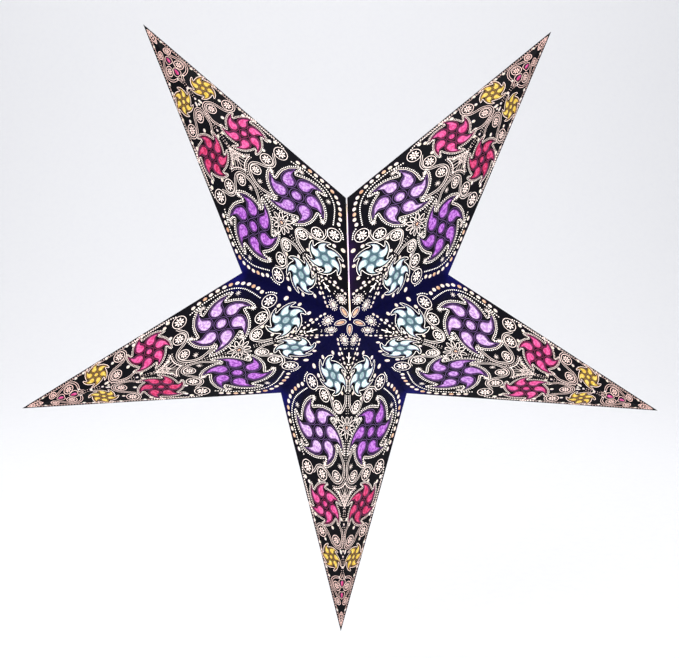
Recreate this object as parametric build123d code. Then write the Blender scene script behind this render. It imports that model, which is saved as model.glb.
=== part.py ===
from build123d import *
import math
import os

# Paper star lantern: five folded and pierced card arms round a ball bulb, in millimetres.
# The origin is the star's centre. X runs to the viewer's right, Y to the back and Z up.
# Each arm is one card blank, shaped along +X here and then turned to its place. It folds along
# its front ridge and its two side edges, and a glued lap closes it along its back ridge.
# "face" is -1 at the front and +1 at the back. "side" is -1 or +1, the lower or upper half of
# an arm that lies along +X.

# Star
ARM_NAMES = ("upper_right", "upper_left", "left", "bottom", "right")
TIP_RADIUS = 315.5
NOTCH_RADIUS = 101.0
HALF_DEPTH = 95.0

# Card, flaps and lining paper
CARD = 0.4
FLAP_WIDTH = 12.0
FLAP_FROM_NOTCH = 12.0
FLAP_FROM_APEX = 22.0
LAP_WIDTH = 6.0
LAP_FROM_APEX = 24.0
LAP_FROM_TIP = 30.0
LINING = 0.15
LINING_CLEARANCE = 1.0

# Open seam in the top valley, held by foam pads between its two flaps
SEAM_GAP = 1.2
PAD_LENGTH = 10.0
PAD_HEIGHT = 7.0
PAD_INSET = 3.0
PAD_PLACES = {"upper": 0.25, "lower": 0.75}

# Pierced wheel of curled petals on each facet, placed from the ridge's apex end
WHEEL_ALONG_RIDGE = 124.5
WHEEL_FROM_RIDGE = 36.0
WHEEL_PETALS = 6
WHEEL_TURN = 9.7
WHEEL_EYE_RADIUS = 5.6
PETAL_FROM_EYE = 16.5
PETAL_RADIUS = 6.4
PETAL_TIP_FROM_EYE = 30.5
PETAL_TIP_TURN = 18.0
PETAL_BACK_ANGLE = -45.0
PETAL_FRONT_ANGLE = 75.0
CUT_TURN = 24.0

# Lampholder, hung through a hole in the back half of the seam, just behind the notch
HOLE_FROM_NOTCH = 19.0
CORD_BORE_RADIUS = 3.5
NIPPLE_WALL = 1.5
NIPPLE_RADIUS = CORD_BORE_RADIUS + NIPPLE_WALL
NIPPLE_RISE = 14.0
NIPPLE_CLEARANCE = 0.5
NIPPLE_MARGIN = 1.5
SEAT_CLEARANCE = 0.3
SHOULDER_INNER_RADIUS = NIPPLE_RADIUS + NIPPLE_CLEARANCE + NIPPLE_MARGIN

# The holder's rings, from the bulb's base outwards
BASE_RADIUS = 6.95
BASE_CLEARANCE = 0.2
SLEEVE_WALL = 0.35
SLEEVE_RADIUS = BASE_RADIUS + BASE_CLEARANCE + SLEEVE_WALL
SLEEVE_LENGTH = 14.0
SLEEVE_CLEARANCE = 0.1
INSERT_NECK_WALL = 1.2
INSERT_NECK_RADIUS = SLEEVE_RADIUS + SLEEVE_CLEARANCE + INSERT_NECK_WALL
INSERT_NECK_LENGTH = 18.0
INSERT_FLANGE = 1.7
INSERT_RADIUS = INSERT_NECK_RADIUS + INSERT_FLANGE
INSERT_THICKNESS = 5.0
INSERT_DEPTH = 10.0
INSERT_FLOOR = 2.0
INSERT_CLEARANCE = 0.2
SPIGOT_WALL = 1.4
SPIGOT_LENGTH = 4.0
SPIGOT_CLEARANCE = 0.1
CAP_WALL = 1.8
CAP_RADIUS = INSERT_RADIUS + INSERT_CLEARANCE + SPIGOT_WALL + SPIGOT_CLEARANCE + CAP_WALL
CAP_LENGTH = 12.0
BODY_LENGTH = 32.0
BODY_TAPER = 2.0
BODY_MOUTH_RADIUS = CAP_RADIUS - BODY_TAPER
BODY_CHAMFER = 0.8
LEDGE_THICKNESS = 2.0
TERMINAL_SPACING = 11.0
TERMINAL_SIZE = 4.0
TERMINAL_DEPTH = 3.0
CONTACT_RADIUS = 2.5
CONTACT_HEIGHT = 1.5

# Ball bulb with a small screw base
BULB_LENGTH = 77.0
GLOBE_RADIUS = 22.5
GLOBE_SHOULDER_ANGLE = 48.0
GLOBE_FLAT_RADIUS = 0.6
BASE_LENGTH = 17.0
BASE_TIP_RADIUS = 2.4
BASE_TIP_HEIGHT = 1.0
BASE_CONE_HEIGHT = 2.5
BASE_CONE_SETBACK = 1.35
BASE_CONE_RADIUS = BASE_RADIUS - BASE_CONE_SETBACK
NECK_RISE = 1.25
NECK_RADIUS = BASE_RADIUS + NECK_RISE
NECK_LENGTH = 3.0

ARM_PITCH = 360.0 / len(ARM_NAMES)
HALF_PITCH = ARM_PITCH / 2
SEAM_ANGLE = 90.0
SIDES = (-1, 1)
FACES = (-1, 1)


def polar(radius, angle):
    """A point of the star's middle plane, with the angle counted from +X towards +Z."""
    turn = math.radians(angle)
    return Vector(radius * math.cos(turn), 0, radius * math.sin(turn))


def apex(face):
    """The star's front or back point, where all the ridges and valleys meet."""
    return Vector(0, face * HALF_DEPTH, 0)


def notch(side):
    """The inner corner between this arm and its neighbour on one side."""
    return polar(NOTCH_RADIUS, side * HALF_PITCH)


TIP = polar(TIP_RADIUS, 0)


def facet_plane(face, side):
    """A facet's plane: x runs up the ridge from the apex, y away from the ridge to the notch."""
    ridge = TIP - apex(face)
    across = notch(side) - apex(face)
    return Plane(origin=apex(face), x_dir=ridge, z_dir=ridge.cross(across))


def outward(face, side):
    """Whether the plane's z axis points out of the star, as +1, or into it, as -1."""
    return -face * side


def facet_normal():
    """The outward unit normal of the back facet on the upper side. The others mirror it."""
    return facet_plane(1, 1).z_dir * outward(1, 1)


def arm_pyramid(inset):
    """The four-sided pyramid of an arm, with its faces moved in by the inset."""
    normal = facet_normal()
    base = -NOTCH_RADIUS
    reach = normal.X * TIP_RADIUS - inset
    tip = Vector(reach / normal.X, 0, 0)
    depth = (reach - normal.X * base) / normal.Y
    width = (reach - normal.X * base) / normal.Z
    ring = [
        Vector(base, depth, 0),
        Vector(base, 0, width),
        Vector(base, -depth, 0),
        Vector(base, 0, -width),
    ]
    walls = [Face(Wire.make_polygon([ring[i - 1], ring[i], tip])) for i in range(len(ring))]
    return Solid(Shell(walls + [Face(Wire.make_polygon(ring))]))


def into_arm(side):
    """The unit normal of the radial plane shared with a neighbour, pointing into this arm."""
    turn = math.radians(HALF_PITCH)
    return Vector(math.sin(turn), 0, -side * math.cos(turn))


def in_sector(shape, gaps):
    """The part of a shape that lies between the arm's two radial planes, less a gap at each."""
    for side in SIDES:
        normal = into_arm(side)
        shape = split(shape, bisect_by=Plane(origin=normal * gaps[side], z_dir=normal), keep=Keep.TOP)
    return shape


def valley_plane(face, side, gap):
    """A flap's plane: x runs down the valley from the notch, y towards the star's centre."""
    valley = apex(face) - notch(side)
    normal = valley.cross(-notch(side))
    return Plane(origin=notch(side) + into_arm(side) * gap, x_dir=valley, z_dir=normal)


def valley_length():
    """The length of a valley, from the notch to the front or back point."""
    return (apex(1) - notch(1)).length


def glue_flap(face, side, gap, start):
    """A flap folded in along a valley, with its ends cut at 45 degrees."""
    end = valley_length() - FLAP_FROM_APEX
    outline = Polygon(
        (start, 0),
        (end, 0),
        (end - FLAP_WIDTH, FLAP_WIDTH),
        (start + FLAP_WIDTH, FLAP_WIDTH),
        align=None,
    )
    return extrude(valley_plane(face, side, gap) * outline, amount=CARD, dir=into_arm(side))


def lap_strip(width, inner, outer, margin):
    """The strip inside the back ridge where the blank's last edge is glued under its first."""
    start = LAP_FROM_APEX - margin
    end = (TIP - apex(1)).length - LAP_FROM_TIP + margin
    outline = Polygon((start, 0), (end, 0), (end - width, width), (start + width, width), align=None)
    sign = -outward(1, 1)
    plane = facet_plane(1, 1).offset(sign * inner)
    return extrude(plane * outline, amount=sign * (outer - inner)) & arm_pyramid(CARD)


def in_cuts(arc):
    """An arc as equal straight cuts, each turning by no more than CUT_TURN."""
    turn = 2 * (arc % 0).get_angle(arc % 0.5)
    count = math.ceil(turn / CUT_TURN)
    return Polyline(*[arc @ (step / count) for step in range(count + 1)])


def petal():
    """One curled petal: a round body, and two arcs that meet in a tip turned round the wheel."""
    body = Vector(PETAL_FROM_EYE, 0)
    tip = Vector(PETAL_TIP_FROM_EYE, 0).rotate(Axis.Z, PETAL_TIP_TURN)
    reach = Vector(PETAL_RADIUS, 0)
    back = body + reach.rotate(Axis.Z, PETAL_BACK_ANGLE)
    front = body + reach.rotate(Axis.Z, PETAL_FRONT_ANGLE)
    round_end = CenterArc(body, PETAL_RADIUS, PETAL_FRONT_ANGLE, 360 - PETAL_FRONT_ANGLE + PETAL_BACK_ANGLE)
    outer_side = TangentArc(back, tip, tangent=(back - body).rotate(Axis.Z, 90))
    inner_side = TangentArc(front, tip, tangent=(front - body).rotate(Axis.Z, -90))
    return make_face([in_cuts(arc) for arc in (round_end, outer_side, inner_side)])


def eye():
    """The round window in the middle of the wheel, from two half circles."""
    halves = [CenterArc((0, 0), WHEEL_EYE_RADIUS, start, 180) for start in (0, 180)]
    return make_face([in_cuts(half) for half in halves])


def wheel_windows(face, side):
    """The cutters for one pierced wheel: its eye and its ring of petals."""
    place = facet_plane(face, side) * Pos(WHEEL_ALONG_RIDGE, WHEEL_FROM_RIDGE)
    outlines = [place * eye()]
    for step in range(WHEEL_PETALS):
        turn = Rot(Z=WHEEL_TURN + step * 360 / WHEEL_PETALS)
        outlines.append(place * turn * petal())
    return [extrude(outline, amount=2 * CARD, both=True) for outline in outlines]


def turned(shape, angle):
    """A shape turned about Y, from +X to an angle of the star's middle plane."""
    return shape.rotate(Axis.Y, -angle)


# The lamp's axis runs from the star's centre through the hole in the seam
SEAM_NOTCH = polar(NOTCH_RADIUS, SEAM_ANGLE)
SEAM_DOWN = (apex(1) - SEAM_NOTCH).normalized()
HOLE_CENTRE = SEAM_NOTCH + SEAM_DOWN * HOLE_FROM_NOTCH
LAMP_AXIS = HOLE_CENTRE.normalized()
LAMP_PLANE = Plane(origin=(0, 0, 0), x_dir=(1, 0, 0), z_dir=LAMP_AXIS)

# Heights on the lamp's axis, counted from the star's centre. The cap's shoulder has the seam's
# slope, so that the two card edges rest along it.
SEAM_FALL = -SEAM_DOWN.dot(LAMP_AXIS) / math.sqrt(1 - SEAM_DOWN.dot(LAMP_AXIS) ** 2)
SEAM_NORMAL = turned(facet_normal(), SEAM_ANGLE - HALF_PITCH)
CARD_ALONG_AXIS = (CARD + SEAM_NORMAL.X * SEAM_GAP / 2) / SEAM_NORMAL.dot(LAMP_AXIS)
SEAT_ALONG_AXIS = SEAT_CLEARANCE * math.sqrt(1 + SEAM_FALL**2)
SHOULDER_TOP = HOLE_CENTRE.length - CARD_ALONG_AXIS - SEAT_ALONG_AXIS - SHOULDER_INNER_RADIUS * SEAM_FALL
SHOULDER_BASE = SHOULDER_TOP - (CAP_RADIUS - SHOULDER_INNER_RADIUS) * SEAM_FALL
JOINT = SHOULDER_BASE - CAP_LENGTH
LEDGE = JOINT - INSERT_DEPTH
INSERT_CEILING = LEDGE - INSERT_FLOOR
BULB_TOP = INSERT_CEILING - CONTACT_HEIGHT


def on_lamp(shape):
    """A shape of the lamp's own upright frame, moved to the lamp's axis."""
    return LAMP_PLANE * shape


def turned_part(*corners):
    """A ring turned from a half section, given as (radius, height) corners."""
    section = Plane.XZ * Polygon(*corners, align=None)
    return on_lamp(revolve(section, Axis.Z))


def seam_hole(radius):
    """The cutter for the round hole that the lampholder's nipple passes through."""
    reach = SHOULDER_TOP + NIPPLE_RISE
    return on_lamp(Pos(Z=reach) * Cylinder(radius, 2 * CAP_RADIUS))


def seam_gaps(angle):
    """Half the seam's gap on the side where an arm borders on the seam, and none elsewhere."""
    borders = {side: math.isclose(angle + side * HALF_PITCH, SEAM_ANGLE) for side in SIDES}
    return {side: SEAM_GAP / 2 if borders[side] else 0.0 for side in SIDES}


def flap_start(face, gap):
    """Where a flap begins below the notch. At the back of the seam it keeps clear of the cap."""
    if gap and face > 0:
        return HOLE_FROM_NOTCH + 2 * CAP_RADIUS
    return FLAP_FROM_NOTCH


def card_arm(angle):
    """One arm: a folded card blank with its glue flaps, closing lap and pierced wheels."""
    gaps = seam_gaps(angle)
    arm = in_sector(arm_pyramid(0) - arm_pyramid(CARD), gaps)
    envelope = in_sector(arm_pyramid(0), gaps)
    for face in FACES:
        for side in SIDES:
            arm += glue_flap(face, side, gaps[side], flap_start(face, gaps[side])) & envelope
    arm += lap_strip(LAP_WIDTH, CARD, 2 * CARD, 0)
    for face in FACES:
        for side in SIDES:
            arm -= wheel_windows(face, side)
    arm = turned(arm, angle)
    if any(gaps.values()):
        arm -= seam_hole(NIPPLE_RADIUS + NIPPLE_CLEARANCE)
    return arm


def lining_sheet(angle):
    """The lining paper of one arm, glued to the inside of the card up to the flaps."""
    gaps = seam_gaps(angle)
    inset = {side: gaps[side] + CARD + LINING_CLEARANCE for side in SIDES}
    sheet = in_sector(arm_pyramid(CARD) - arm_pyramid(CARD + LINING), inset)
    sheet -= lap_strip(LAP_WIDTH + LINING_CLEARANCE, CARD, 3 * CARD, LINING_CLEARANCE)
    sheet = turned(sheet, angle)
    if any(gaps.values()):
        sheet -= seam_hole(NIPPLE_RADIUS + NIPPLE_CLEARANCE + LINING_CLEARANCE)
    return sheet


def seam_pad(face, share):
    """A foam pad between the two seam flaps, at a share of the flap's straight edge."""
    start = flap_start(face, SEAM_GAP) + FLAP_WIDTH
    end = valley_length() - FLAP_FROM_APEX - FLAP_WIDTH
    middle = start + share * (end - start)
    outline = Pos(middle, PAD_INSET + PAD_HEIGHT / 2) * Rectangle(PAD_LENGTH, PAD_HEIGHT)
    pad = extrude(valley_plane(face, 1, 0) * outline, amount=SEAM_GAP / 2, both=True)
    return turned(pad, SEAM_ANGLE - HALF_PITCH)


def holder_cap():
    """The lampholder's cap: a nipple for the cord, a sloped shoulder and a round skirt."""
    inner_radius = CAP_RADIUS - CAP_WALL
    return turned_part(
        (CORD_BORE_RADIUS, SHOULDER_TOP + NIPPLE_RISE),
        (NIPPLE_RADIUS, SHOULDER_TOP + NIPPLE_RISE),
        (NIPPLE_RADIUS, SHOULDER_TOP),
        (SHOULDER_INNER_RADIUS, SHOULDER_TOP),
        (CAP_RADIUS, SHOULDER_BASE),
        (CAP_RADIUS, JOINT),
        (inner_radius, JOINT),
        (inner_radius, SHOULDER_BASE - CAP_WALL / 2),
        (SHOULDER_INNER_RADIUS - CAP_WALL / 2, SHOULDER_TOP - CAP_WALL),
        (CORD_BORE_RADIUS, SHOULDER_TOP - CAP_WALL),
    )


def holder_body():
    """The lampholder's lower shell: a spigot inside the cap, and a ledge that holds the insert."""
    bore = INSERT_RADIUS + INSERT_CLEARANCE
    ledge_bore = INSERT_NECK_RADIUS + INSERT_CLEARANCE
    spigot = CAP_RADIUS - CAP_WALL - SPIGOT_CLEARANCE
    foot = JOINT - BODY_LENGTH
    return turned_part(
        (bore, JOINT + SPIGOT_LENGTH),
        (spigot, JOINT + SPIGOT_LENGTH),
        (spigot, JOINT),
        (CAP_RADIUS, JOINT),
        (CAP_RADIUS, foot + BODY_CHAMFER),
        (CAP_RADIUS - BODY_CHAMFER, foot),
        (BODY_MOUTH_RADIUS, foot),
        (BODY_MOUTH_RADIUS, LEDGE - LEDGE_THICKNESS),
        (ledge_bore, LEDGE - LEDGE_THICKNESS),
        (ledge_bore, LEDGE),
        (bore, LEDGE),
    )


def holder_insert():
    """The insert: a flange on the body's ledge, a neck round the screw sleeve, two terminals."""
    bore = SLEEVE_RADIUS + SLEEVE_CLEARANCE
    foot = LEDGE - INSERT_NECK_LENGTH
    insert = turned_part(
        (0, LEDGE + INSERT_THICKNESS),
        (INSERT_RADIUS, LEDGE + INSERT_THICKNESS),
        (INSERT_RADIUS, LEDGE),
        (INSERT_NECK_RADIUS, LEDGE),
        (INSERT_NECK_RADIUS, foot),
        (bore, foot),
        (bore, INSERT_CEILING),
        (0, INSERT_CEILING),
    )
    top = LEDGE + INSERT_THICKNESS - TERMINAL_DEPTH / 2
    for side in SIDES:
        pocket = Pos(side * TERMINAL_SPACING / 2, 0, top) * Box(TERMINAL_SIZE, TERMINAL_SIZE, TERMINAL_DEPTH)
        insert -= on_lamp(pocket)
    return insert


def screw_sleeve():
    """The metal sleeve that takes the bulb's base, with its thread left plain."""
    return turned_part(
        (SLEEVE_RADIUS - SLEEVE_WALL, INSERT_CEILING),
        (SLEEVE_RADIUS, INSERT_CEILING),
        (SLEEVE_RADIUS, INSERT_CEILING - SLEEVE_LENGTH),
        (SLEEVE_RADIUS - SLEEVE_WALL, INSERT_CEILING - SLEEVE_LENGTH),
    )


def centre_contact():
    """The contact stud that the tip of the bulb's base touches."""
    return on_lamp(Pos(Z=INSERT_CEILING - CONTACT_HEIGHT / 2) * Cylinder(CONTACT_RADIUS, CONTACT_HEIGHT))


def ball_bulb():
    """The sealed bulb: a stepped base, a short neck and a round globe with a tiny flat below."""
    cone_top = BULB_TOP - BASE_TIP_HEIGHT
    shell_top = cone_top - BASE_CONE_HEIGHT
    shell_foot = shell_top - BASE_LENGTH
    globe = BULB_TOP - BULB_LENGTH + GLOBE_RADIUS
    turn = math.radians(GLOBE_SHOULDER_ANGLE)
    shoulder = (GLOBE_RADIUS * math.cos(turn), globe + GLOBE_RADIUS * math.sin(turn))
    base = Polyline(
        (0, BULB_TOP),
        (BASE_TIP_RADIUS, BULB_TOP),
        (BASE_TIP_RADIUS, cone_top),
        (BASE_CONE_RADIUS, cone_top),
        (BASE_RADIUS, shell_top),
        (BASE_RADIUS, shell_foot),
        (NECK_RADIUS, shell_foot),
        (NECK_RADIUS, shell_foot - NECK_LENGTH),
    )
    flare = TangentArc(shoulder, base @ 1, tangent=(-math.sin(turn), math.cos(turn)))
    foot = globe - math.sqrt(GLOBE_RADIUS**2 - GLOBE_FLAT_RADIUS**2)
    ball = ThreePointArc(shoulder, (GLOBE_RADIUS, globe), (GLOBE_FLAT_RADIUS, foot))
    core = Polyline((GLOBE_FLAT_RADIUS, foot), (0, foot), (0, BULB_TOP))
    section = Plane.XZ * make_face([base, flare, ball, core])
    return on_lamp(revolve(section, Axis.Z))


def lantern():
    """Every piece of the lantern by its name."""
    pieces = {}
    for step, name in enumerate(ARM_NAMES):
        angle = SEAM_ANGLE - HALF_PITCH + step * ARM_PITCH
        pieces[f"arm_{name}"] = card_arm(angle)
        pieces[f"lining_{name}"] = lining_sheet(angle)
    for face, word in zip(FACES, ("front", "back")):
        for place, share in PAD_PLACES.items():
            pieces[f"seam_pad_{word}_{place}"] = seam_pad(face, share)
    pieces["holder_cap"] = holder_cap()
    pieces["holder_body"] = holder_body()
    pieces["holder_insert"] = holder_insert()
    pieces["screw_sleeve"] = screw_sleeve()
    pieces["centre_contact"] = centre_contact()
    pieces["bulb"] = ball_bulb()
    return pieces


os.makedirs("parts", exist_ok=True)
for name, piece in lantern().items():
    export_step(piece, f"parts/{name}.step")
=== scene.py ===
"""Paper star lantern: five folded and pierced card arms over coloured tissue, lit by a ball bulb inside."""

import logging
import math
from collections.abc import Iterable, Sequence
from dataclasses import dataclass, field, replace
from enum import Enum
from typing import Any

import bpy
import numpy as np
from mathutils import Matrix, Vector
from mathutils.geometry import delaunay_2d_cdt


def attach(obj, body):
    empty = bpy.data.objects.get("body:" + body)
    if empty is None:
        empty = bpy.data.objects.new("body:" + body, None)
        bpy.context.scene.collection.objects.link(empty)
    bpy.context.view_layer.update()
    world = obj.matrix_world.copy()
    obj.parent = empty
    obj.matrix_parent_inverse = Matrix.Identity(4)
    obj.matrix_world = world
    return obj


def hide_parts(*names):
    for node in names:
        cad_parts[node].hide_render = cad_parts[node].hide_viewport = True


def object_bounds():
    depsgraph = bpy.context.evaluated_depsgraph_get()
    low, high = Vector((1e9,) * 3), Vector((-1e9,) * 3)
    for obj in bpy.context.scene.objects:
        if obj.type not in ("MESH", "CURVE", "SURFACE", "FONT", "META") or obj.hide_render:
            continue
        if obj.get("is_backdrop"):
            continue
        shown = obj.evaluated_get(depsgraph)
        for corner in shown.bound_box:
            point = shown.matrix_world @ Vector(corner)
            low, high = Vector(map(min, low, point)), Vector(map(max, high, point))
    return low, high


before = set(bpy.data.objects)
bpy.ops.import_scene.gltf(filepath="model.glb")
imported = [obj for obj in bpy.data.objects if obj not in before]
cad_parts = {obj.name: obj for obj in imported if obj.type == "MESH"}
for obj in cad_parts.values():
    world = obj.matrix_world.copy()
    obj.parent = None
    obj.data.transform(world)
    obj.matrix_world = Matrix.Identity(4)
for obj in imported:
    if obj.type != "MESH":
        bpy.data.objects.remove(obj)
box_at_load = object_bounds()

logging.basicConfig(level=logging.INFO, format="%(name)s: %(message)s")
log = logging.getLogger("star")

MM = 0.001
Colour = tuple[float, float, float]
Point = tuple[float, float]


def srgb(red: int, green: int, blue: int) -> Colour:
    """The linear colour of three screen values from 0 to 255."""
    values = (red / 255, green / 255, blue / 255)
    return tuple(v / 12.92 if v <= 0.04045 else ((v + 0.055) / 1.055) ** 2.4 for v in values)


class Region(Enum):
    """What a patch of the printed card is. A window is cut right through it."""

    GROUND = "ground"
    CREAM = "cream"
    WHITE = "white"
    LILAC = "lilac"
    ROSE = "rose"
    GOLD = "gold"
    TEAL = "teal"
    WINDOW = "window"


class Tone(Enum):
    """The tints of the lining tissue."""

    WARM = "warm"
    PEACH = "peach"
    AQUA = "aqua"
    AQUA_RIM = "aqua_rim"
    VIOLET = "violet"
    VIOLET_RIM = "violet_rim"
    PINK = "pink"
    PINK_RIM = "pink_rim"
    YELLOW = "yellow"
    YELLOW_RIM = "yellow_rim"


class Arm(Enum):
    """The star's arms, by their names in the CAD."""

    UPPER_RIGHT = "upper_right"
    UPPER_LEFT = "upper_left"
    LEFT = "left"
    BOTTOM = "bottom"
    RIGHT = "right"


class Cut(Enum):
    """How a flat sheet is cut: plain, beside the open seam, or there with the opening for the cord."""

    PLAIN = "plain"
    SEAM = "seam"
    HOLE = "hole"


@dataclass(frozen=True)
class StarSize:
    """The folded star's sizes in mm, as in the CAD."""

    tip: float = 315.5
    notch: float = 101.0
    half_depth: float = 95.0
    card: float = 0.4
    lining: float = 0.15
    lining_gap: float = 0.02
    lining_setback: float = 1.0
    seam_gap: float = 1.2
    flap_width: float = 12.0
    flap_from_notch: float = 12.0
    flap_from_apex: float = 22.0
    hole_flap_from_notch: float = 47.0
    flap_gap: float = 0.6
    lap_width: float = 6.0
    lap_gap: float = 0.9
    lap_from_apex: float = 24.0
    lap_from_tip: float = 30.0
    lap_slant: float = 4.0
    glue: float = 0.02
    cord_from_notch: float = 19.0
    cord_hole: float = 5.5
    tissue_hole: float = 16.0
    half_angle: float = math.radians(36)


SIZE = StarSize()
ARM_TURNS = {
    Arm.UPPER_RIGHT: 54.0,
    Arm.UPPER_LEFT: 126.0,
    Arm.LEFT: 198.0,
    Arm.BOTTOM: 270.0,
    Arm.RIGHT: 342.0,
}
SEAM_SIDES = {Arm.UPPER_RIGHT: 1, Arm.UPPER_LEFT: -1}
# painted shade: on these facets the violet and pink tints take darker copies, and on the next ones copies in
# between
SHADED_FACETS = {(Arm.UPPER_RIGHT, -1), (Arm.UPPER_LEFT, 1), (Arm.LEFT, 1), (Arm.BOTTOM, 1)}
HALF_SHADED_FACETS = {(Arm.UPPER_LEFT, -1), (Arm.RIGHT, -1)}
FACET_UV = "facet"
FACET_UV_LENGTH = 330.0
# distances from the star's centre, in metres, over which the inks' painted light fades
LAMP_FALLOFF = (0.07, 0.31)
# near-black for painted shade: it darkens the tissue's own colour, so that its painted glow carries the tint
PAINTED_SHADE_BLACK = (0.012, 0.012, 0.012)
BEAD_GAP = 2.45
FINE_LINE = 0.42


class Sketch:
    """A material's node tree, built by short calls."""

    def __init__(self, name: str) -> None:
        """Starts a material with one Principled shader.

        Args:
            name: the material's name.
        """
        self.material = bpy.data.materials.new(name)
        self.material.use_nodes = True
        self.tree = self.material.node_tree
        self.shader = self.tree.nodes["Principled BSDF"]

    def set(self, **values: Any) -> None:
        """Sets the shader's own sockets, with an underscore for each space in a name.

        Args:
            values: the value of each socket.
        """
        for name, value in values.items():
            socket = self.shader.inputs[name.replace("_", " ")]
            socket.default_value = (*value, 1.0) if isinstance(value, tuple) else value

    def node(self, kind: str, inputs: dict[Any, Any] | None = None, **settings: Any) -> bpy.types.Node:
        """Adds a node.

        Args:
            kind: the node's type, without "ShaderNode".
            inputs: its sockets by name or number, each with a value or a socket to link.
            settings: its own properties.

        Returns:
            The node.
        """
        node = self.tree.nodes.new("ShaderNode" + kind)
        for name, value in settings.items():
            setattr(node, name, value)
        for name, value in (inputs or {}).items():
            if isinstance(value, bpy.types.NodeSocket):
                self.tree.links.new(value, node.inputs[name])
            else:
                node.inputs[name].default_value = (*value, 1.0) if isinstance(value, tuple) else value
        return node

    def feed(self, name: str, socket: bpy.types.NodeSocket) -> None:
        """Links a socket to one of the shader's own."""
        self.tree.links.new(socket, self.shader.inputs[name])

    def place(self) -> bpy.types.NodeSocket:
        """The surface's place in the lantern, in metres."""
        return self.node("TexCoord").outputs["Object"]

    def noise(self, scale: float, detail: float = 3.0, rough: float = 0.55) -> bpy.types.NodeSocket:
        """A cloudy value from 0 to 1, with scale in patches per metre.

        Args:
            scale: patches per metre.
            detail: how many finer layers it has.
            rough: how strong those are.

        Returns:
            The value.
        """
        inputs = {"Vector": self.place(), "Scale": scale, "Detail": detail, "Roughness": rough}
        return self.node("TexNoise", inputs).outputs[0]

    def math(self, operation: str, *values: Any, clamp: bool = False) -> bpy.types.NodeSocket:
        """One step of arithmetic on values or sockets."""
        return self.node("Math", dict(enumerate(values)), operation=operation, use_clamp=clamp).outputs[0]

    def spread(self, value: bpy.types.NodeSocket, *ends: float) -> bpy.types.NodeSocket:
        """A value moved from one range (the first two ends) to another (the last two), held at its ends.

        Args:
            value: the value to move.
            ends: the ends of its range, then the ends that it gets.

        Returns:
            The moved value.
        """
        names = ("From Min", "From Max", "To Min", "To Max")
        inputs = {"Value": value} | dict(zip(names, ends, strict=True))
        return self.node("MapRange", inputs, interpolation_type="SMOOTHSTEP").outputs[0]

    def blend(self, factor: Any, first: Any, second: Any) -> bpy.types.NodeSocket:
        """A colour between two colours or colour sockets.

        Args:
            factor: the share of the second colour, as a number or a socket.
            first: the one colour.
            second: the other colour.

        Returns:
            The colour.
        """
        inputs = {0: factor, 6: first, 7: second}
        return self.node("Mix", inputs, data_type="RGBA", blend_type="MIX").outputs[2]

    def from_centre(self) -> bpy.types.NodeSocket:
        """The distance from the star's centre, in metres."""
        return self.node("VectorMath", {0: self.place()}, operation="LENGTH").outputs["Value"]

    def bump(self, height: bpy.types.NodeSocket, strength: float, depth: float) -> None:
        """Feeds a relief of this depth in metres to the shader.

        Args:
            height: the relief.
            strength: how much of it shows, from 0 to 1.
            depth: its depth in metres.
        """
        made = self.node("Bump", {"Height": height, "Strength": strength, "Distance": depth})
        self.feed("Normal", made.outputs["Normal"])


@dataclass(frozen=True)
class PrintFinish:
    """An ink on the card, which fades from one colour near the star's centre to another at its tips: painted
    light, dimmer away from the lamp.

    The wash is a second colour along the valleys. Its width and waver are in mm from the valley, and its
    start and fade are distances from the star's centre in metres.
    """

    name: str
    near: Colour
    far: Colour
    roughness: float = 0.62
    glow: float = 0.0
    wash: Colour | None = None
    shine: float = 0.18
    wash_width: Point = (3.0, 27.0)
    wash_waver: float = 10.0
    wash_start: Point = (0.094, 0.104)
    wash_fade: Point = (0.25, 0.4)

    def make(self) -> bpy.types.Material:
        """Builds the ink: its fade and, if it has one, its glow, both painted light from the lamp; an uneven
        coat, card fibres and, if it has one, its wash.

        Returns:
            The material.
        """
        sketch = Sketch(self.name)
        # painted light: the colour changes with the distance from the lamp at the star's centre
        fade = sketch.spread(sketch.from_centre(), *LAMP_FALLOFF, 0.0, 1.0)
        colour = sketch.blend(fade, self.near, self.far)
        cloud = sketch.noise(140.0)
        if self.wash:
            colour = sketch.blend(self._valley(sketch, cloud), colour, self.wash)
        dull = tuple(0.62 * part for part in self.near)
        colour = sketch.blend(sketch.spread(cloud, 0.45, 0.85, 0.0, 0.45), colour, dull)
        sketch.feed("Base Color", colour)
        # painted light: the ink glows in its own colour, as if the lamp shone through the card
        if self.glow:
            sketch.feed("Emission Color", colour)
            sketch.set(Emission_Strength=self.glow)
        fibres = sketch.noise(2600.0, 4.0, 0.7)
        smoothest, roughest = self.roughness - 0.07, self.roughness + 0.1
        sketch.feed("Roughness", sketch.spread(fibres, 0.3, 0.7, smoothest, roughest))
        sketch.set(Specular_IOR_Level=self.shine)
        sketch.bump(fibres, 0.35, 0.00012)
        return sketch.material

    def _valley(self, sketch: Sketch, cloud: bpy.types.NodeSocket) -> bpy.types.NodeSocket:
        """How much of the wash shows, from 0 to 1, by the distance to the valley on the flat facet.

        Args:
            sketch: the material's tree.
            cloud: a cloudy value that makes the wash uneven.

        Returns:
            Its share.
        """
        flat = sketch.node("UVMap", uv_map=FACET_UV).outputs[0]
        parts = sketch.node("SeparateXYZ", {0: flat}).outputs
        along = sketch.math("MULTIPLY", parts[0], VALLEY_IN[0] * FACET_UV_LENGTH)
        distance = sketch.math("MULTIPLY_ADD", parts[1], VALLEY_IN[1] * FACET_UV_LENGTH, along)
        uneven = sketch.math("MULTIPLY_ADD", cloud, self.wash_waver, distance)
        start, end = (self.wash_waver / 2 + width for width in self.wash_width)
        near = sketch.spread(uneven, start, end, 1.0, 0.0)
        centre = sketch.from_centre()
        dimmed = sketch.math("MULTIPLY", near, sketch.spread(centre, *self.wash_start, 0.3, 1.0))
        return sketch.math("MULTIPLY", dimmed, sketch.spread(centre, *self.wash_fade, 1.0, 0.0))


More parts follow.
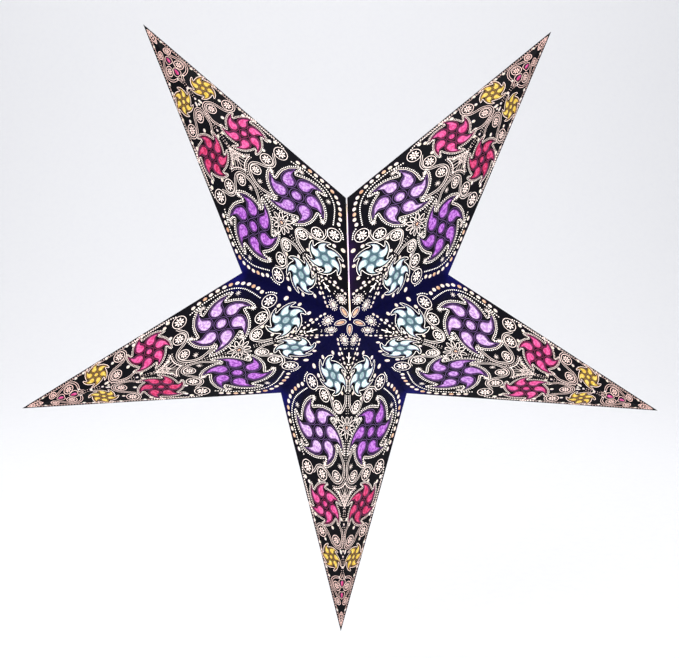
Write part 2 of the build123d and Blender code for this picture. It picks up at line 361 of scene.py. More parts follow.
@dataclass(frozen=True)
class TissueFinish:
    """A tint of the lining tissue with the lamp behind it: bright, mottled patches in a deeper tone.

    Its own colour is darkened as painted shade, so that its painted glow carries the tint.
    """

    name: str
    bright: Colour
    deep: Colour
    glow: float = 1.0
    patches: float = 420.0
    mottle: Point = (0.41, 0.59)
    darkening: float = 0.72

    def make(self) -> bpy.types.Material:
        """Builds the tint with its mottling, a slow change of light over the star, and crumpled fibres.

        Returns:
            The material.
        """
        sketch = Sketch(self.name)
        mottle = sketch.spread(sketch.noise(self.patches, 4.0, 0.6), *self.mottle, 0.0, 1.0)
        colour = sketch.blend(mottle, self.deep, self.bright)
        # painted shade: the tissue's own colour is mostly darkened towards near-black
        sketch.feed("Base Color", sketch.blend(self.darkening, colour, PAINTED_SHADE_BLACK))
        # painted light: the tint glows as if the lamp shone through the tissue, a little less towards the
        # tips
        sketch.feed("Emission Color", colour)
        light = sketch.spread(sketch.from_centre(), 0.06, 0.33, self.glow * 1.08, self.glow * 0.8)
        sketch.feed("Emission Strength", light)
        fibres = sketch.noise(1900.0, 4.0, 0.65)
        sketch.feed("Roughness", sketch.spread(fibres, 0.3, 0.7, 0.6, 0.85))
        sketch.set(Specular_IOR_Level=0.2)
        sketch.bump(fibres, 0.4, 0.0002)
        return sketch.material


@dataclass(frozen=True)
class PlainFinish:
    """A moulded, foamed, drawn or blown material with fine wear."""

    name: str
    colour: Colour
    worn: Colour
    roughness: float
    grain: float = 900.0
    relief: float = 0.00006
    metallic: float = 0.0
    coat: float = 0.0
    glow: float = 0.0
    stretch: tuple[float, float, float] = (1.0, 1.0, 1.0)

    def make(self) -> bpy.types.Material:
        """Builds the material: cloudy wear, a grain in its roughness and a fine relief.

        Returns:
            The material.
        """
        sketch = Sketch(self.name)
        wear = sketch.spread(sketch.noise(85.0), 0.4, 0.75, 0.0, 0.6)
        colour = sketch.blend(wear, self.colour, self.worn)
        sketch.feed("Base Color", colour)
        scaled = sketch.node("Mapping", {"Vector": sketch.place()}, vector_type="POINT")
        scaled.inputs["Scale"].default_value = self.stretch
        inputs = {"Vector": scaled.outputs[0], "Scale": self.grain, "Detail": 4.0}
        grain = sketch.node("TexNoise", inputs).outputs[0]
        smoothest, roughest = self.roughness - 0.06, self.roughness + 0.09
        sketch.feed("Roughness", sketch.spread(grain, 0.3, 0.7, smoothest, roughest))
        sketch.set(Metallic=self.metallic, Coat_Weight=self.coat)
        if self.glow:
            sketch.feed("Emission Color", colour)
            sketch.set(Emission_Strength=self.glow)
        sketch.bump(grain, 0.5, self.relief)
        return sketch.material


NIGHT = PrintFinish("ink_ground", srgb(6, 5, 14), srgb(6, 6, 11), wash=srgb(14, 12, 110), shine=0.06)
# each ink's glow is painted light from the lamp inside, strongest in the cream and white
INKS = {
    Region.GROUND: NIGHT,
    Region.CREAM: PrintFinish("ink_cream", srgb(252, 240, 232), srgb(220, 180, 170), glow=0.98),
    Region.WHITE: PrintFinish("ink_white", srgb(255, 248, 240), srgb(226, 192, 180), glow=1.15),
    Region.LILAC: PrintFinish("ink_lilac", srgb(132, 96, 160), srgb(112, 74, 136), glow=0.16),
    Region.ROSE: PrintFinish("ink_rose", srgb(178, 60, 112), srgb(150, 48, 96), glow=0.16),
    Region.GOLD: PrintFinish("ink_gold", srgb(190, 154, 84), srgb(170, 132, 70), glow=0.16),
    Region.TEAL: PrintFinish("ink_teal", srgb(78, 108, 118), srgb(64, 92, 104), glow=0.24),
}
# beside the open seam: the upper right ground's purple wash is painted light that leaks from the seam onto
# the facet; the upper left ground has no wash, so it stays darker
SEAM_GROUNDS = {
    Arm.UPPER_RIGHT: replace(
        NIGHT,
        name="ink_ground_glow",
        wash=srgb(98, 48, 142),
        wash_width=(0.5, 15.0),
        wash_fade=(0.052, 0.094),
    ),
    Arm.UPPER_LEFT: replace(NIGHT, name="ink_ground_dark", wash=None),
}
# painted light: the cut edges are pale purple with a faint glow, as if lit by the tissue behind them
CARD_EDGE = PrintFinish("card_edge", srgb(150, 116, 168), srgb(120, 88, 128), roughness=0.8, glow=0.15)
# the card's white back, with a painted glow as if lit by the lamp inside
CARD_REVERSE = PrintFinish(
    "card_reverse", srgb(238, 232, 240), srgb(224, 212, 220), roughness=0.8, glow=0.35
)
# painted light: the seam flaps' faces glow, so that the open seam shows as a bright line of lamplight
SEAM_FACE = PrintFinish("card_seam", srgb(250, 238, 255), srgb(226, 204, 240), roughness=0.8, glow=0.4)
TISSUE = {
    Tone.WARM: TissueFinish("tissue_warm", srgb(255, 248, 234), srgb(246, 228, 206), 1.0, 300.0),
    Tone.PEACH: TissueFinish("tissue_peach", srgb(248, 210, 172), srgb(222, 168, 128), 0.9, 300.0),
    Tone.AQUA: TissueFinish("tissue_aqua", srgb(244, 250, 249), srgb(206, 228, 230), 0.95),
    Tone.AQUA_RIM: TissueFinish("tissue_aqua_rim", srgb(186, 210, 212), srgb(140, 174, 180), 0.85),
    Tone.VIOLET: TissueFinish("tissue_lavender", srgb(238, 210, 244), srgb(196, 142, 214), 0.92),
    Tone.VIOLET_RIM: TissueFinish("tissue_lavender_rim", srgb(142, 98, 164), srgb(98, 60, 124), 0.8),
    Tone.PINK: TissueFinish("tissue_pink", srgb(246, 112, 178), srgb(222, 54, 130), 0.94),
    Tone.PINK_RIM: TissueFinish("tissue_pink_rim", srgb(166, 26, 82), srgb(120, 14, 58), 0.8),
    Tone.YELLOW: TissueFinish("tissue_yellow", srgb(252, 230, 122), srgb(238, 192, 60), 0.94),
    Tone.YELLOW_RIM: TissueFinish("tissue_yellow_rim", srgb(206, 152, 44), srgb(160, 108, 28), 0.8),
}
# painted shade: darker copies of the violet and pink tints, for some facets
SHADED_TINTS = {
    Tone.VIOLET: TissueFinish("tissue_violet", srgb(208, 136, 228), srgb(148, 62, 180), 0.94),
    Tone.VIOLET_RIM: TissueFinish("tissue_violet_rim", srgb(108, 52, 138), srgb(74, 28, 100), 0.75),
    Tone.PINK: TissueFinish("tissue_crimson", srgb(236, 84, 140), srgb(202, 26, 84), 0.9),
    Tone.PINK_RIM: TissueFinish("tissue_crimson_rim", srgb(150, 22, 72), srgb(104, 12, 48), 0.76),
}
# painted shade: copies between the plain and the darker violet tints, for some facets
HALF_SHADED_TINTS = {
    Tone.VIOLET: TissueFinish("tissue_orchid", srgb(222, 172, 238), srgb(166, 98, 194), 0.9),
    Tone.VIOLET_RIM: TissueFinish("tissue_orchid_rim", srgb(122, 74, 150), srgb(86, 44, 116), 0.78),
}


def polar(centre: Point, radius: float, degrees: float) -> Point:
    """The point at a distance and direction from a centre."""
    angle = math.radians(degrees)
    return centre[0] + radius * math.cos(angle), centre[1] + radius * math.sin(angle)


def oval(centre: Point, along: float, across: float, turn: float = 0.0, count: int = 12) -> list[Point]:
    """An ellipse with two half sizes, turned by some degrees.

    Args:
        centre: its middle.
        along: its half size in the turned direction.
        across: its other half size.
        turn: its turn in degrees.
        count: how many corners it gets.

    Returns:
        Its corners, counterclockwise.
    """
    cos, sin = math.cos(math.radians(turn)), math.sin(math.radians(turn))
    made = []
    for step in range(count):
        angle = 2 * math.pi * step / count
        u, v = along * math.cos(angle), across * math.sin(angle)
        made.append((centre[0] + u * cos - v * sin, centre[1] + u * sin + v * cos))
    return made


def disc(centre: Point, radius: float, count: int = 10) -> list[Point]:
    """A round outline."""
    return oval(centre, radius, radius, 0.0, count)


def bow(start: Point, pull: Point, end: Point, count: int) -> list[Point]:
    """A curve from start towards pull and on to end, without its last point.

    Args:
        start: the first point.
        pull: the point that it bends towards.
        end: the point after its last.
        count: how many points it gets.

    Returns:
        The points.
    """
    made = []
    for step in range(count):
        t = step / count
        pulls = ((1 - t) ** 2, start), (2 * t * (1 - t), pull), (t * t, end)
        made.append(tuple(sum(weight * point[n] for weight, point in pulls) for n in (0, 1)))
    return made


def smooth(points: Sequence[Point], step: float) -> list[Point]:
    """A soft curve through the points, with corners about one step apart.

    Args:
        points: the points that it passes through.
        step: the distance between its corners.

    Returns:
        Its corners, with the last point.
    """
    ends = (points[0], *points, points[-1])
    made: list[Point] = []
    for before, start, end, after in zip(ends, ends[1:], ends[2:], ends[3:]):
        count = max(1, round(math.dist(start, end) / step))
        for n in range(count):
            t = n / count
            parts = []
            for a, b, c, d in zip(before, start, end, after):
                bend = 2 * a - 5 * b + 4 * c - d + t * (3 * (b - c) + d - a)
                parts.append(b + 0.5 * t * (c - a + t * bend))
            made.append((parts[0], parts[1]))
    return [*made, points[-1]]


def beside(line: Sequence[Point], distance: float, closed: bool = False) -> list[Point]:
    """A line at some distance to the left of another.

    Args:
        line: the other line.
        distance: how far to the left, or to the right if it is below zero.
        closed: does the line end where it starts?

    Returns:
        The new line.
    """
    count, made = len(line), []
    for n, (u, v) in enumerate(line):
        before = line[n - 1] if n or closed else line[n]
        after = line[(n + 1) % count] if n + 1 < count or closed else line[n]
        du, dv = after[0] - before[0], after[1] - before[1]
        length = math.hypot(du, dv) or 1.0
        made.append((u - distance * dv / length, v + distance * du / length))
    return made


def spaced(line: Sequence[Point], gap: float, closed: bool = False) -> list[Point]:
    """Points about one gap apart along a line.

    Args:
        line: the line.
        gap: the distance between points, which is rounded to fit.
        closed: does the line end where it starts?

    Returns:
        The points.
    """
    path = [*line, line[0]] if closed else list(line)
    lengths = [0.0]
    for start, end in zip(path, path[1:]):
        lengths.append(lengths[-1] + math.dist(start, end))
    count = max(2, round(lengths[-1] / gap))
    at = [lengths[-1] * n / count for n in range(count if closed else count + 1)]
    along, up = (np.interp(at, lengths, [point[n] for point in path]) for n in (0, 1))
    return list(zip(along, up))


def doubled_area(a: Point, b: Point, c: Point) -> float:
    """Twice a triangle's area, below zero if it turns clockwise."""
    return (b[0] - a[0]) * (c[1] - a[1]) - (c[0] - a[0]) * (b[1] - a[1])


@dataclass
class Drawing:
    """Shapes laid one over another on a flat facet. The first is the facet's own outline."""

    outline: list[Point]
    base: Enum
    corners: list[Point] = field(default_factory=list)
    faces: list[list[int]] = field(default_factory=list)
    kinds: list[Enum] = field(default_factory=list)

    def __post_init__(self) -> None:
        """Lays down the facet's outline."""
        self.shape(self.base, self.outline)

    def shape(self, kind: Enum, outline: Sequence[Point]) -> None:
        """Lays down one closed shape, counterclockwise.

        Args:
            kind: what the shape is.
            outline: its corners, in either direction.
        """
        doubled = sum(a[0] * b[1] - b[0] * a[1] for a, b in zip(outline, [*outline[1:], outline[0]]))
        first = len(self.corners)
        self.corners.extend(outline if doubled > 0 else reversed(outline))
        self.faces.append(list(range(first, len(self.corners))))
        self.kinds.append(kind)

    def line(self, kind: Enum, points: Sequence[Point], width: float, closed: bool = False) -> None:
        """Lays down a line of even width, as one patch for each of its spans.

        Args:
            kind: what the line is.
            points: its corners.
            width: its width in mm.
            closed: does it end where it starts?
        """
        left, right = beside(points, width / 2, closed), beside(points, -width / 2, closed)
        first, count = len(self.corners), len(points)
        self.corners.extend([*left, *right])
        for n in range(count if closed else count - 1):
            after = (n + 1) % count
            patch = [first + count + n, first + count + after, first + after, first + n]
            if self._turns_left([self.corners[corner] for corner in patch]):
                self.faces.append(patch)
                self.kinds.append(kind)
            else:
                span = [points[n], points[after]]
                self.shape(kind, [*beside(span, -width / 2), *reversed(beside(span, width / 2))])

    @staticmethod
    def _turns_left(patch: Sequence[Point]) -> bool:
        """Does the patch turn left at every corner, so that it is convex and doesn't cross itself?

        Args:
            patch: its four corners.

        Returns:
            True if it does.
        """
        for a, b, c in zip(patch, [*patch[1:], patch[0]], [*patch[2:], *patch[:2]]):
            if (b[0] - a[0]) * (c[1] - b[1]) - (b[1] - a[1]) * (c[0] - b[0]) <= 1e-5:
                return False
        return True

    def dots(self, kind: Enum, centres: Iterable[Point], radius: float, sides: int = 5) -> None:
        """Lays down a round dot at each centre.

        Args:
            kind: what the dots are.
            centres: their middles.
            radius: their radius in mm.
            sides: how many corners each gets.
        """
        for centre in centres:
            self.shape(kind, disc(centre, radius, sides))

    def ring(self, kind: Enum, centre: Point, radius: float, width: float, sides: int = 16) -> None:
        """Lays down a thin ring."""
        self.line(kind, disc(centre, radius, sides), width, closed=True)

    def settle(self) -> "FlatSheet":
        """Cuts all the shapes against each other; the last one laid on a patch gives its kind.

        Returns:
            The triangles inside the facet, without its windows.
        """
        made = delaunay_2d_cdt([Vector(p) for p in self.corners], [], self.faces, 1, 0.004, True)
        points, triangles, covers = made[0], made[2], made[5]
        kept, kinds = [], []
        for corners, cover in zip(triangles, covers):
            if 0 in cover and (kind := self.kinds[max(cover)]) is not Region.WINDOW:
                area = doubled_area(*(points[n] for n in corners))
                kept.append(tuple(corners) if area > 0 else tuple(reversed(corners)))
                kinds.append(kind)
        number = {old: new for new, old in enumerate(sorted({n for t in kept for n in t}))}
        used = [(points[old][0], points[old][1]) for old in number]
        return FlatSheet(used, [tuple(number[n] for n in t) for t in kept], kinds)


@dataclass
class FlatSheet:
    """The triangles of a flat facet, each of one kind."""

    points: list[Point]
    triangles: list[tuple[int, int, int]]
    kinds: list[Enum]

    def borders(self) -> list[tuple[int, int]]:
        """The directed edges with a triangle on their left only."""
        edges = {(t[n], t[(n + 1) % 3]) for t in self.triangles for n in range(3)}
        return [(a, b) for a, b in edges if (b, a) not in edges]

    def backing(self) -> "FlatSheet":
        """A lighter sheet of the same outline and windows, for the face that bears no print.

        Returns:
            The sheet.
        """
        borders = self.borders()
        used = sorted({n for edge in borders for n in edge})
        number = {old: new for new, old in enumerate(used)}
        edges = [(number[a], number[b]) for a, b in borders]
        points = [self.points[n] for n in used]
        made = delaunay_2d_cdt([Vector(p) for p in points], edges, [], 0, 1e-5, True)
        first = [origins[0] for origins in made[3]]
        corners = [tuple(first[n] for n in face) for face in made[2]]
        turned = [c if doubled_area(*(points[n] for n in c)) > 0 else c[::-1] for c in corners]
        by_edge = {(t[n], t[(n + 1) % 3]): k for k, t in enumerate(turned) for n in range(3)}
        walls = set(edges) | {(b, a) for a, b in edges}
        kept, waiting = set(), [by_edge[edge] for edge in edges if edge in by_edge]
        while waiting:
            face = waiting.pop()
            if face in kept:
                continue
            kept.add(face)
            for n in range(3):
                a, b = turned[face][n], turned[face][(n + 1) % 3]
                if (a, b) not in walls and (b, a) in by_edge:
                    waiting.append(by_edge[b, a])
        return FlatSheet(points, [turned[k] for k in sorted(kept)], [Region.GROUND] * len(kept))


@dataclass(frozen=True)
class Fold:
    """One facet of an arm that lies along X. face is -1 at the front, side is -1 below."""

    face: int
    side: int

    @property
    def apex(self) -> np.ndarray:
        """The star's front or back point."""
        return np.array([0.0, SIZE.half_depth * self.face, 0.0])

    @property
    def notch(self) -> np.ndarray:
        """The inner corner between two arms."""
        angle = SIZE.half_angle
        return SIZE.notch * np.array([math.cos(angle), 0.0, self.side * math.sin(angle)])

    @property
    def along(self) -> np.ndarray:
        """The direction of the ridge, from the apex to the tip."""
        run = np.array([SIZE.tip, 0.0, 0.0]) - self.apex
        return run / np.linalg.norm(run)

    @property
    def across(self) -> np.ndarray:
        """The direction in the facet from the ridge to the notch, square to the ridge.

        Returns:
            A vector of length one.
        """
        rise = self.notch - self.apex
        rise = rise - self.along * (rise @ self.along)
        return rise / np.linalg.norm(rise)

    @property
    def normal(self) -> np.ndarray:
        """The direction out of the star."""
        made = np.cross(self.along, self.across)
        return made if made[1] * self.face > 0 else -made

    @property
    def valley_normal(self) -> np.ndarray:
        """The direction square to the plane between this arm and the next, into this arm."""
        angle = SIZE.half_angle
        return np.array([math.sin(angle), 0.0, -self.side * math.cos(angle)])

    def flat(self, place: np.ndarray) -> Point:
        """A place on the facet in flat coordinates."""
        run = place - self.apex
        return float(run @ self.along), float(run @ self.across)

    def lift(self, points: np.ndarray) -> np.ndarray:
        """Flat coordinates as places on the outer face."""
        return self.apex + points[:, :1] * self.along + points[:, 1:] * self.across


PLAIN_FOLD = Fold(-1, 1)
RIDGE_LENGTH = PLAIN_FOLD.flat(np.array([SIZE.tip, 0.0, 0.0]))[0]
NOTCH_FLAT = PLAIN_FOLD.flat(PLAIN_FOLD.notch)
VALLEY_LENGTH = math.hypot(*NOTCH_FLAT)
VALLEY_IN = (NOTCH_FLAT[1] / VALLEY_LENGTH, -NOTCH_FLAT[0] / VALLEY_LENGTH)
SIDE_RUN = (RIDGE_LENGTH - NOTCH_FLAT[0], -NOTCH_FLAT[1])
VALLEY_LEAN = math.sqrt(1 - float(PLAIN_FOLD.normal @ PLAIN_FOLD.valley_normal) ** 2)


def facet_outline(setback: float) -> list[Point]:
    """A facet's outline with its valley edge this far from the plane between two arms.

    Args:
        setback: the distance in mm.

    Returns:
        The outline's corners, from the star's front point along the ridge and back by the notch.
    """
    inward = setback / VALLEY_LEAN
    side = math.hypot(*SIDE_RUN)
    run = (SIDE_RUN[0] / side, SIDE_RUN[1] / side)
    slide = inward / (run[0] * VALLEY_IN[0] + run[1] * VALLEY_IN[1])
    notch = (NOTCH_FLAT[0] + slide * run[0], NOTCH_FLAT[1] + slide * run[1])
    joins = [] if setback else [(SIZE.seam_gap / 2 / VALLEY_LEAN / VALLEY_IN[0], 0.0)]
    return [(inward / VALLEY_IN[0], 0.0), *joins, (RIDGE_LENGTH, 0.0), notch]


@dataclass(frozen=True)
class Wheel:
    """A whirl of curled petals round an eye, pierced through the card over tissue of one tint."""

    centre: Point
    size: float
    turn: float
    ink: Region
    tone: Tone
    rim: Tone
    petals: int = 6
    petal_out: float = 16.5
    petal_radius: float = 6.7
    petal_tip: float = 29.6
    petal_curl: float = 28.0
    eye: float = 5.6
    lobes: tuple[float, float] = (23.6, 33.4)
    lobe_turn: float = 36.0
    patch: float = 33.0
    filling: float = 19.0
    filled_heart: float = 12.8
    beaded: bool = True
    filled: bool = False
    spread: float = 0.0

    def petal(self, number: int, grow: float = 0.0) -> list[Point]:
        """One petal: a round body and a curled tip, made larger all round by some mm.

        Args:
            number: which petal, from 0.
            grow: how many mm.

        Returns:
            Its outline.
        """
        middle, radius = (self.petal_out * self.size, 0.0), self.petal_radius * self.size + grow
        tip = polar((0.0, 0.0), self.petal_tip * self.size + 1.4 * grow, self.petal_curl)
        steps = 9 if self.size > 0.8 else 7
        body = [polar(middle, radius, 75.0 + 240.0 * n / steps) for n in range(steps)]
        back, front = polar(middle, radius, -45.0), polar(middle, radius, 75.0)
        outer = bow(back, polar(back, 10.0 * self.size, 45.0), tip, 5)
        inner = bow(tip, polar(front, 6.5 * self.size, -15.0), front, 5)
        angle = math.radians(self.turn + 360.0 * number / self.petals)
        cos, sin = math.cos(angle), math.sin(angle)
        return [
            (self.centre[0] + u * cos - v * sin, self.centre[1] + u * sin + v * cos)
            for u, v in (*body, *outer, *inner)
        ]

    def whirl(self, grow: float, steps: int = 12) -> list[Point]:
        """The scalloped outline round the petals, whose points turn the way the petals curl.

        Args:
            grow: how many mm larger all round.
            steps: how many corners each petal's part gets.

        Returns:
            The outline.
        """
        low, high = self.lobes
        share, made = 360.0 / self.petals, []
        for number in range(self.petals):
            for step in range(steps):
                t = step / steps
                rise = (0.5 - 0.5 * math.cos(2 * math.pi * t)) ** 1.2
                radius = (low + (high - low) * rise) * self.size + grow
                swing = self.turn + share * (number + t - 0.5) + self.lobe_turn * rise
                made.append(polar(self.centre, radius, swing))
        return made

    def print_on(self, art: Drawing) -> None:
        """Prints the outlines and pierces the petals and the eye.

        Args:
            art: the drawing on one facet.
        """
        fine = max(0.42, 0.6 * self.size)
        if self.filled:
            art.shape(self.ink, disc(self.centre, self.filling * self.size, 20))
        if self.beaded:
            gap = BEAD_GAP * max(self.size, 0.72)
            art.line(Region.CREAM, self.whirl(0.0), 0.8 * fine, closed=True)
            art.dots(Region.WHITE, spaced(self.whirl(1.8 * self.size), gap, closed=True), 0.3 * gap)
        else:
            art.line(Region.WHITE, self.whirl(0.6 * self.size), 1.15 * fine, closed=True)
        if not self.filled:
            for number in range(self.petals):
                around = self.petal(number, 1.2 * self.size ** 0.5)
                art.line(self.ink, around, FINE_LINE, closed=True)
            art.ring(self.ink, self.centre, (self.eye + 1.9) * self.size, FINE_LINE, 14)
        for number in range(self.petals):
            art.shape(Region.WINDOW, self.petal(number, self.spread))
        art.shape(Region.WINDOW, disc(self.centre, self.eye * self.size, 12))

    def tint(self, art: Drawing) -> None:
        """Tints the tissue behind: a deep round patch with a bright heart in each petal and in the eye.

        Args:
            art: the drawing of one facet's tissue.
        """
        art.shape(self.rim, disc(self.centre, self.patch * self.size, 20))
        for number in range(self.petals):
            art.shape(self.tone, self.petal(number, self.spread - 1.05 * self.size))
        if self.filled:
            art.shape(self.rim, disc(self.centre, self.filled_heart * self.size, 16))
        else:
            art.shape(self.tone, disc(self.centre, (self.eye - 1.3) * self.size, 10))


AQUA = Wheel(
    (60.3, 19.6), 0.58, 22.0, Region.TEAL, Tone.AQUA, Tone.AQUA_RIM,
    eye=6.0, lobes=(24.0, 33.2), beaded=False, filled=True, spread=0.2,
)
VIOLET = Wheel((124.5, 36.0), 1.0, 9.7, Region.LILAC, Tone.VIOLET, Tone.VIOLET_RIM, spread=-0.2)
PINK = Wheel((197.6, 26.4), 0.7, 31.0, Region.ROSE, Tone.PINK, Tone.PINK_RIM, eye=5.0, lobes=(24.0, 33.0))
YELLOW = Wheel(
    (252.2, 16.4), 0.42, 5.0, Region.GOLD, Tone.YELLOW, Tone.YELLOW_RIM, lobes=(24.0, 33.0), beaded=False
)
WHEELS = (AQUA, VIOLET, PINK, YELLOW)

SCROLLS = (
    (
        (73, 2.4), (83.0, 3.2), (93.4, 9.4), (92.6, 17.4), (82, 22.8), (76.9, 29.6), (79.5, 38.2),
        (84.2, 42.4),
    ),
    (
        (129.2, 15.1), (134.4, 8.3), (144.6, 2.6), (154.9, 2.6), (164.3, 6.5), (167.7, 12.5), (166, 18.5),
        (160.9, 24.5), (158.3, 31.3), (160.9, 37.3), (166.8, 40.7), (170.3, 43.3),
    ),
    (
        (210.3, 7.4), (216.7, 2.6), (225.3, 1.6), (233.8, 3.1), (237.3, 8.3), (234.7, 15.1), (227.9, 20.2),
        (223.6, 24.5), (222.7, 32.2), (227, 36.5),
    ),
    ((263.5, 1.4), (268, 2.6), (271.4, 10), (276.6, 14.2), (283.4, 13.4), (288.5, 9.1), (293.6, 3.4)),
)
ROSETTES = (
    (88.5, 12.5, 5.6), (84.2, 30, 6.4), (76.9, 46.7, 7.4), (160.4, 11.7, 5.4), (166.8, 30.9, 6.4),
    (168.1, 51, 7.2), (229.6, 9.5, 5.2), (229.1, 29.6, 5.8), (280.4, 7.4, 4.8), (297.1, 5.2, 3.6),
)
ASTERISKS = ((148.5, 7.6), (154.4, 27.5), (144.2, 59.8), (108.6, 66.4), (92.2, 43.4), (104.6, 14.6))
ARC = (
    (84.6, 60), (88.5, 65.5), (93.2, 69.5), (98, 73.6), (104, 76.6), (110, 78.8), (116.8, 79.2),
    (123.2, 78.2), (130.1, 76.2), (136.9, 73.4), (142.9, 70.4), (148.9, 67.0), (154.6, 63.4),
)
BEAD_LINES = (
    (
        (86.3, 53.6), (89.7, 57.4), (94, 62), (101.5, 68.8), (110.4, 72.9), (119, 73.9), (127.5, 72.4),
        (136, 69), (144.6, 65.2), (151.5, 60.4), (157.2, 56.6),
    ),
    ((70, 53.2), (75.2, 56.6), (80.2, 57.2)),
    ((172.5, 58.4), (180, 57), (190, 52.6), (204, 47.2), (216, 42.4)),
)
DOTS = (
    (53.4, 4.6, 1.9), (73.2, 7.6, 1.8), (83.2, 19.6, 1.9), (67.5, 38.4, 2.1), (47.2, 33.2, 2.0),
    (38.2, 20.5, 2.0), (36.4, 12.2, 1.8), (60.3, 44.6, 2.5), (176.6, 8.6, 1.9), (176.2, 34.8, 1.9),
    (183.4, 48.6, 2.0),
    (218.4, 15.2, 1.9), (203.6, 3.8, 1.8), (215.2, 39.2, 1.9), (180.5, 54.0, 2.2), (222.2, 40.2, 1.7),
    (243.2, 32.2, 1.8), (274.2, 18.4, 1.7), (307.8, 6.0, 1.5), (255.6, 1.0, 1.5), (238.6, 3.4, 1.6),
    (269.2, 4.6, 1.3), (266.6, 22.4, 1.6), (235.8, 24.6, 1.7),
)
RIDGE_DOTS = (
    (55, 0), (58.6, 2.2), (207.6, 0), (237.2, 0), (243.6, 0), (240.4, 3.0), (27.2, 13.6), (31.0, 11.2),
    (34.6, 9.0), (38.9, 7.2), (42.7, 5.5), (45.8, 2.4), (23.4, 14.6),
)
BUDS = ((274, 0, 3.4), (287.7, 0, 3.0))
JEWEL = (9.0, 0.0)
SPRAY = (20.5, 6.6)
STAR_FLOWER = (105.5, 0.0)
LEAF = ((306.5, 0.0), (323.5, 0.0))


